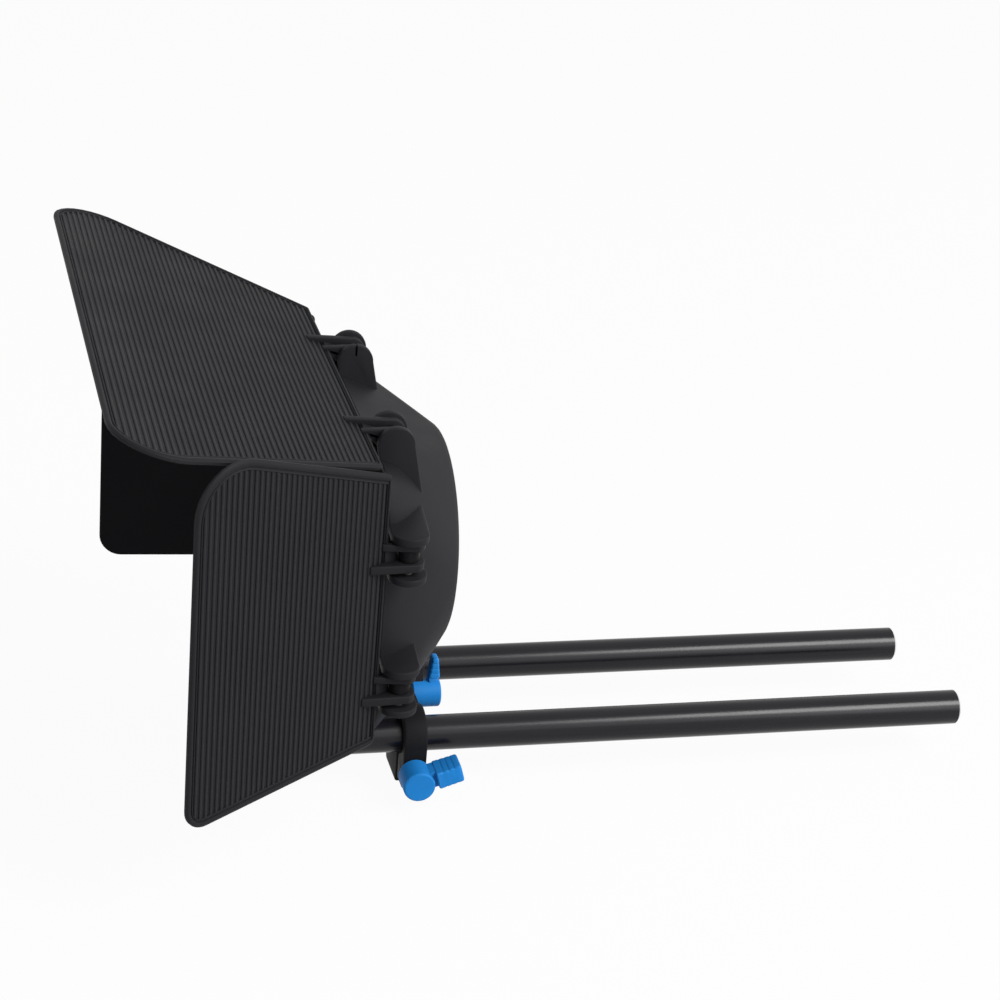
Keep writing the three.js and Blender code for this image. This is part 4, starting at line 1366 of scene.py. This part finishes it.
# Camera fitted to the photo: its place, its own axes, and its lens and sensor in mm
CAMERA_PLACE = Vector((948.2, -222, 542.5)) * MM
CAMERA_RIGHT = (0.2329, 0.9691, 0.0806)
CAMERA_UP = (-0.4220, 0.0260, 0.9062)
CAMERA_BACK = (0.8761, -0.2451, 0.4151)
CAMERA_LENS = 92.8
CAMERA_SENSOR = 36
CAMERA_CLIP = 10 * MM
FLOOR_SIZE = 12
FLOOR_DROP = 0.3 * MM
FLOOR_COLOUR = (0.6, 0.6, 0.605, 1)
FLOOR_WHITENESS = 0.95
FLOOR_ROUGHNESS = 0.9
AIR_COLOUR = (1, 1, 1)
SHADE_COLOUR = (0.4, 0.4, 0.42)
# Each lamp: name, place and size in metres, power in watts
LAMPS = (
    ("key", Vector((1.44, 0.5, 1.2)), 1.6, 6),
    ("strip", Vector((0.98, 0.98, 1.4)), 0.8, 24),
    ("front side", Vector((0.9, -1.5, 0.6)), 1.2, 3),
    ("rear side", Vector((1.0, 1.5, 0.7)), 2, 24),
)


def add_object(name, data):
    """Puts a camera or a lamp in the scene."""
    thing = bpy.data.objects.new(name, data)
    bpy.context.scene.collection.objects.link(thing)
    return thing


def add_camera():
    data = bpy.data.cameras.new("camera")
    data.lens = CAMERA_LENS
    data.sensor_width = CAMERA_SENSOR
    data.clip_start = CAMERA_CLIP
    camera = add_object("camera", data)
    turn = Matrix((CAMERA_RIGHT, CAMERA_UP, CAMERA_BACK)).transposed()
    camera.matrix_world = Matrix.Translation(CAMERA_PLACE) @ turn.to_4x4()
    bpy.context.scene.camera = camera


def add_lamp(name, place, size, power):
    data = bpy.data.lights.new(name, "AREA")
    data.shape = "DISK"
    data.size = size
    data.energy = power
    lamp = add_object(name, data)
    lamp.location = place
    aim = (cad_box[0] + cad_box[1]) / 2 - place
    lamp.rotation_euler = aim.to_track_quat("-Z", "Y").to_euler()


def seen_rays(tree):
    """1 for camera, glossy and transmission rays, 0 for the others."""
    rays = add_node(tree, "ShaderNodeLightPath")
    total = rays.outputs["Is Camera Ray"]
    for kind in ("Is Glossy Ray", "Is Transmission Ray"):
        larger = add_node(tree, "ShaderNodeMath", operation="MAXIMUM")
        tree.links.new(total, larger.inputs[0])
        tree.links.new(rays.outputs[kind], larger.inputs[1])
        total = larger.outputs["Value"]
    return total


def add_world():
    """White to the eye and in reflections, dimmer as a light."""
    world = bpy.data.worlds.new("studio")
    world.use_nodes = True
    tree = world.node_tree
    tree.nodes.clear()
    light = add_node(tree, "ShaderNodeBackground")
    colour = mix_colours(tree, seen_rays(tree), SHADE_COLOUR, AIR_COLOUR)
    tree.links.new(colour, light.inputs["Color"])
    output = add_node(tree, "ShaderNodeOutputWorld")
    tree.links.new(light.outputs["Background"], output.inputs["Surface"])
    bpy.context.scene.world = world


def add_floor():
    bpy.ops.object.select_all(action="DESELECT")
    height = cad_box[0].z - FLOOR_DROP
    bpy.ops.mesh.primitive_plane_add(size=FLOOR_SIZE, location=(0, 0, height))
    floor = bpy.context.object
    floor.name = "floor"
    material, tree, shader, _ = new_material("pale floor")
    shader.inputs["Base Color"].default_value = FLOOR_COLOUR
    shader.inputs["Roughness"].default_value = FLOOR_ROUGHNESS
    shader.inputs["Specular IOR Level"].default_value = 0
    glow = add_node(tree, "ShaderNodeEmission")
    part = add_node(tree, "ShaderNodeMath", operation="MULTIPLY")
    part.inputs[1].default_value = FLOOR_WHITENESS
    tree.links.new(seen_rays(tree), part.inputs[0])
    mix = add_node(tree, "ShaderNodeMixShader")
    tree.links.new(part.outputs["Value"], mix.inputs["Fac"])
    tree.links.new(shader.outputs["BSDF"], mix.inputs[1])
    tree.links.new(glow.outputs["Emission"], mix.inputs[2])
    tree.links.new(mix.outputs["Shader"], tree.nodes["Material Output"].inputs["Surface"])
    floor.data.materials.append(material)


class MATTEBOX_OT_stage(bpy.types.Operator):
    """Set up the floor, the studio light and the camera"""
    bl_idname = "mattebox.stage"
    bl_label = "Stage"

    def execute(self, context):
        context.scene.view_settings.view_transform = "Standard"
        add_world()
        add_floor()
        for lamp in LAMPS:
            add_lamp(*lamp)
        add_camera()
        return {"FINISHED"}


OPERATORS = (
    MATTEBOX_OT_bell, MATTEBOX_OT_flags, MATTEBOX_OT_bridge, MATTEBOX_OT_knobs, MATTEBOX_OT_rods,
    MATTEBOX_OT_hinges, MATTEBOX_OT_fasteners, MATTEBOX_OT_stage,
)
GROUPS = {
    "matte_box_flags": FlagSettings,
    "matte_box_edges": EdgeSettings,
    "matte_box_finish": FinishSettings,
}


class MATTEBOX_PT_panel(bpy.types.Panel):
    """Lists the settings and the operators in the 3D view's sidebar"""
    bl_idname = "MATTEBOX_PT_panel"
    bl_label = "Matte box"
    bl_space_type = "VIEW_3D"
    bl_region_type = "UI"
    bl_category = "Matte box"

    def draw(self, context):
        for name, group in GROUPS.items():
            settings = getattr(context.scene, name)
            box = self.layout.box()
            for value in group.__annotations__:
                box.prop(settings, value)
        for operator in OPERATORS:
            self.layout.operator(operator.bl_idname)


CLASSES = (*GROUPS.values(), *OPERATORS, MATTEBOX_PT_panel)


def register():
    for kind in CLASSES:
        bpy.utils.register_class(kind)
    for name, group in GROUPS.items():
        setattr(bpy.types.Scene, name, bpy.props.PointerProperty(type=group))


def unregister():
    for name in GROUPS:
        delattr(bpy.types.Scene, name)
    for kind in reversed(CLASSES):
        bpy.utils.unregister_class(kind)


def main():
    register()
    bpy.ops.mattebox.bell()
    bpy.ops.mattebox.flags()
    bpy.ops.mattebox.bridge()
    bpy.ops.mattebox.knobs()
    bpy.ops.mattebox.rods()
    bpy.ops.mattebox.hinges()
    bpy.ops.mattebox.fasteners()
    bpy.ops.mattebox.stage()


if __name__ == "__main__":
    main()
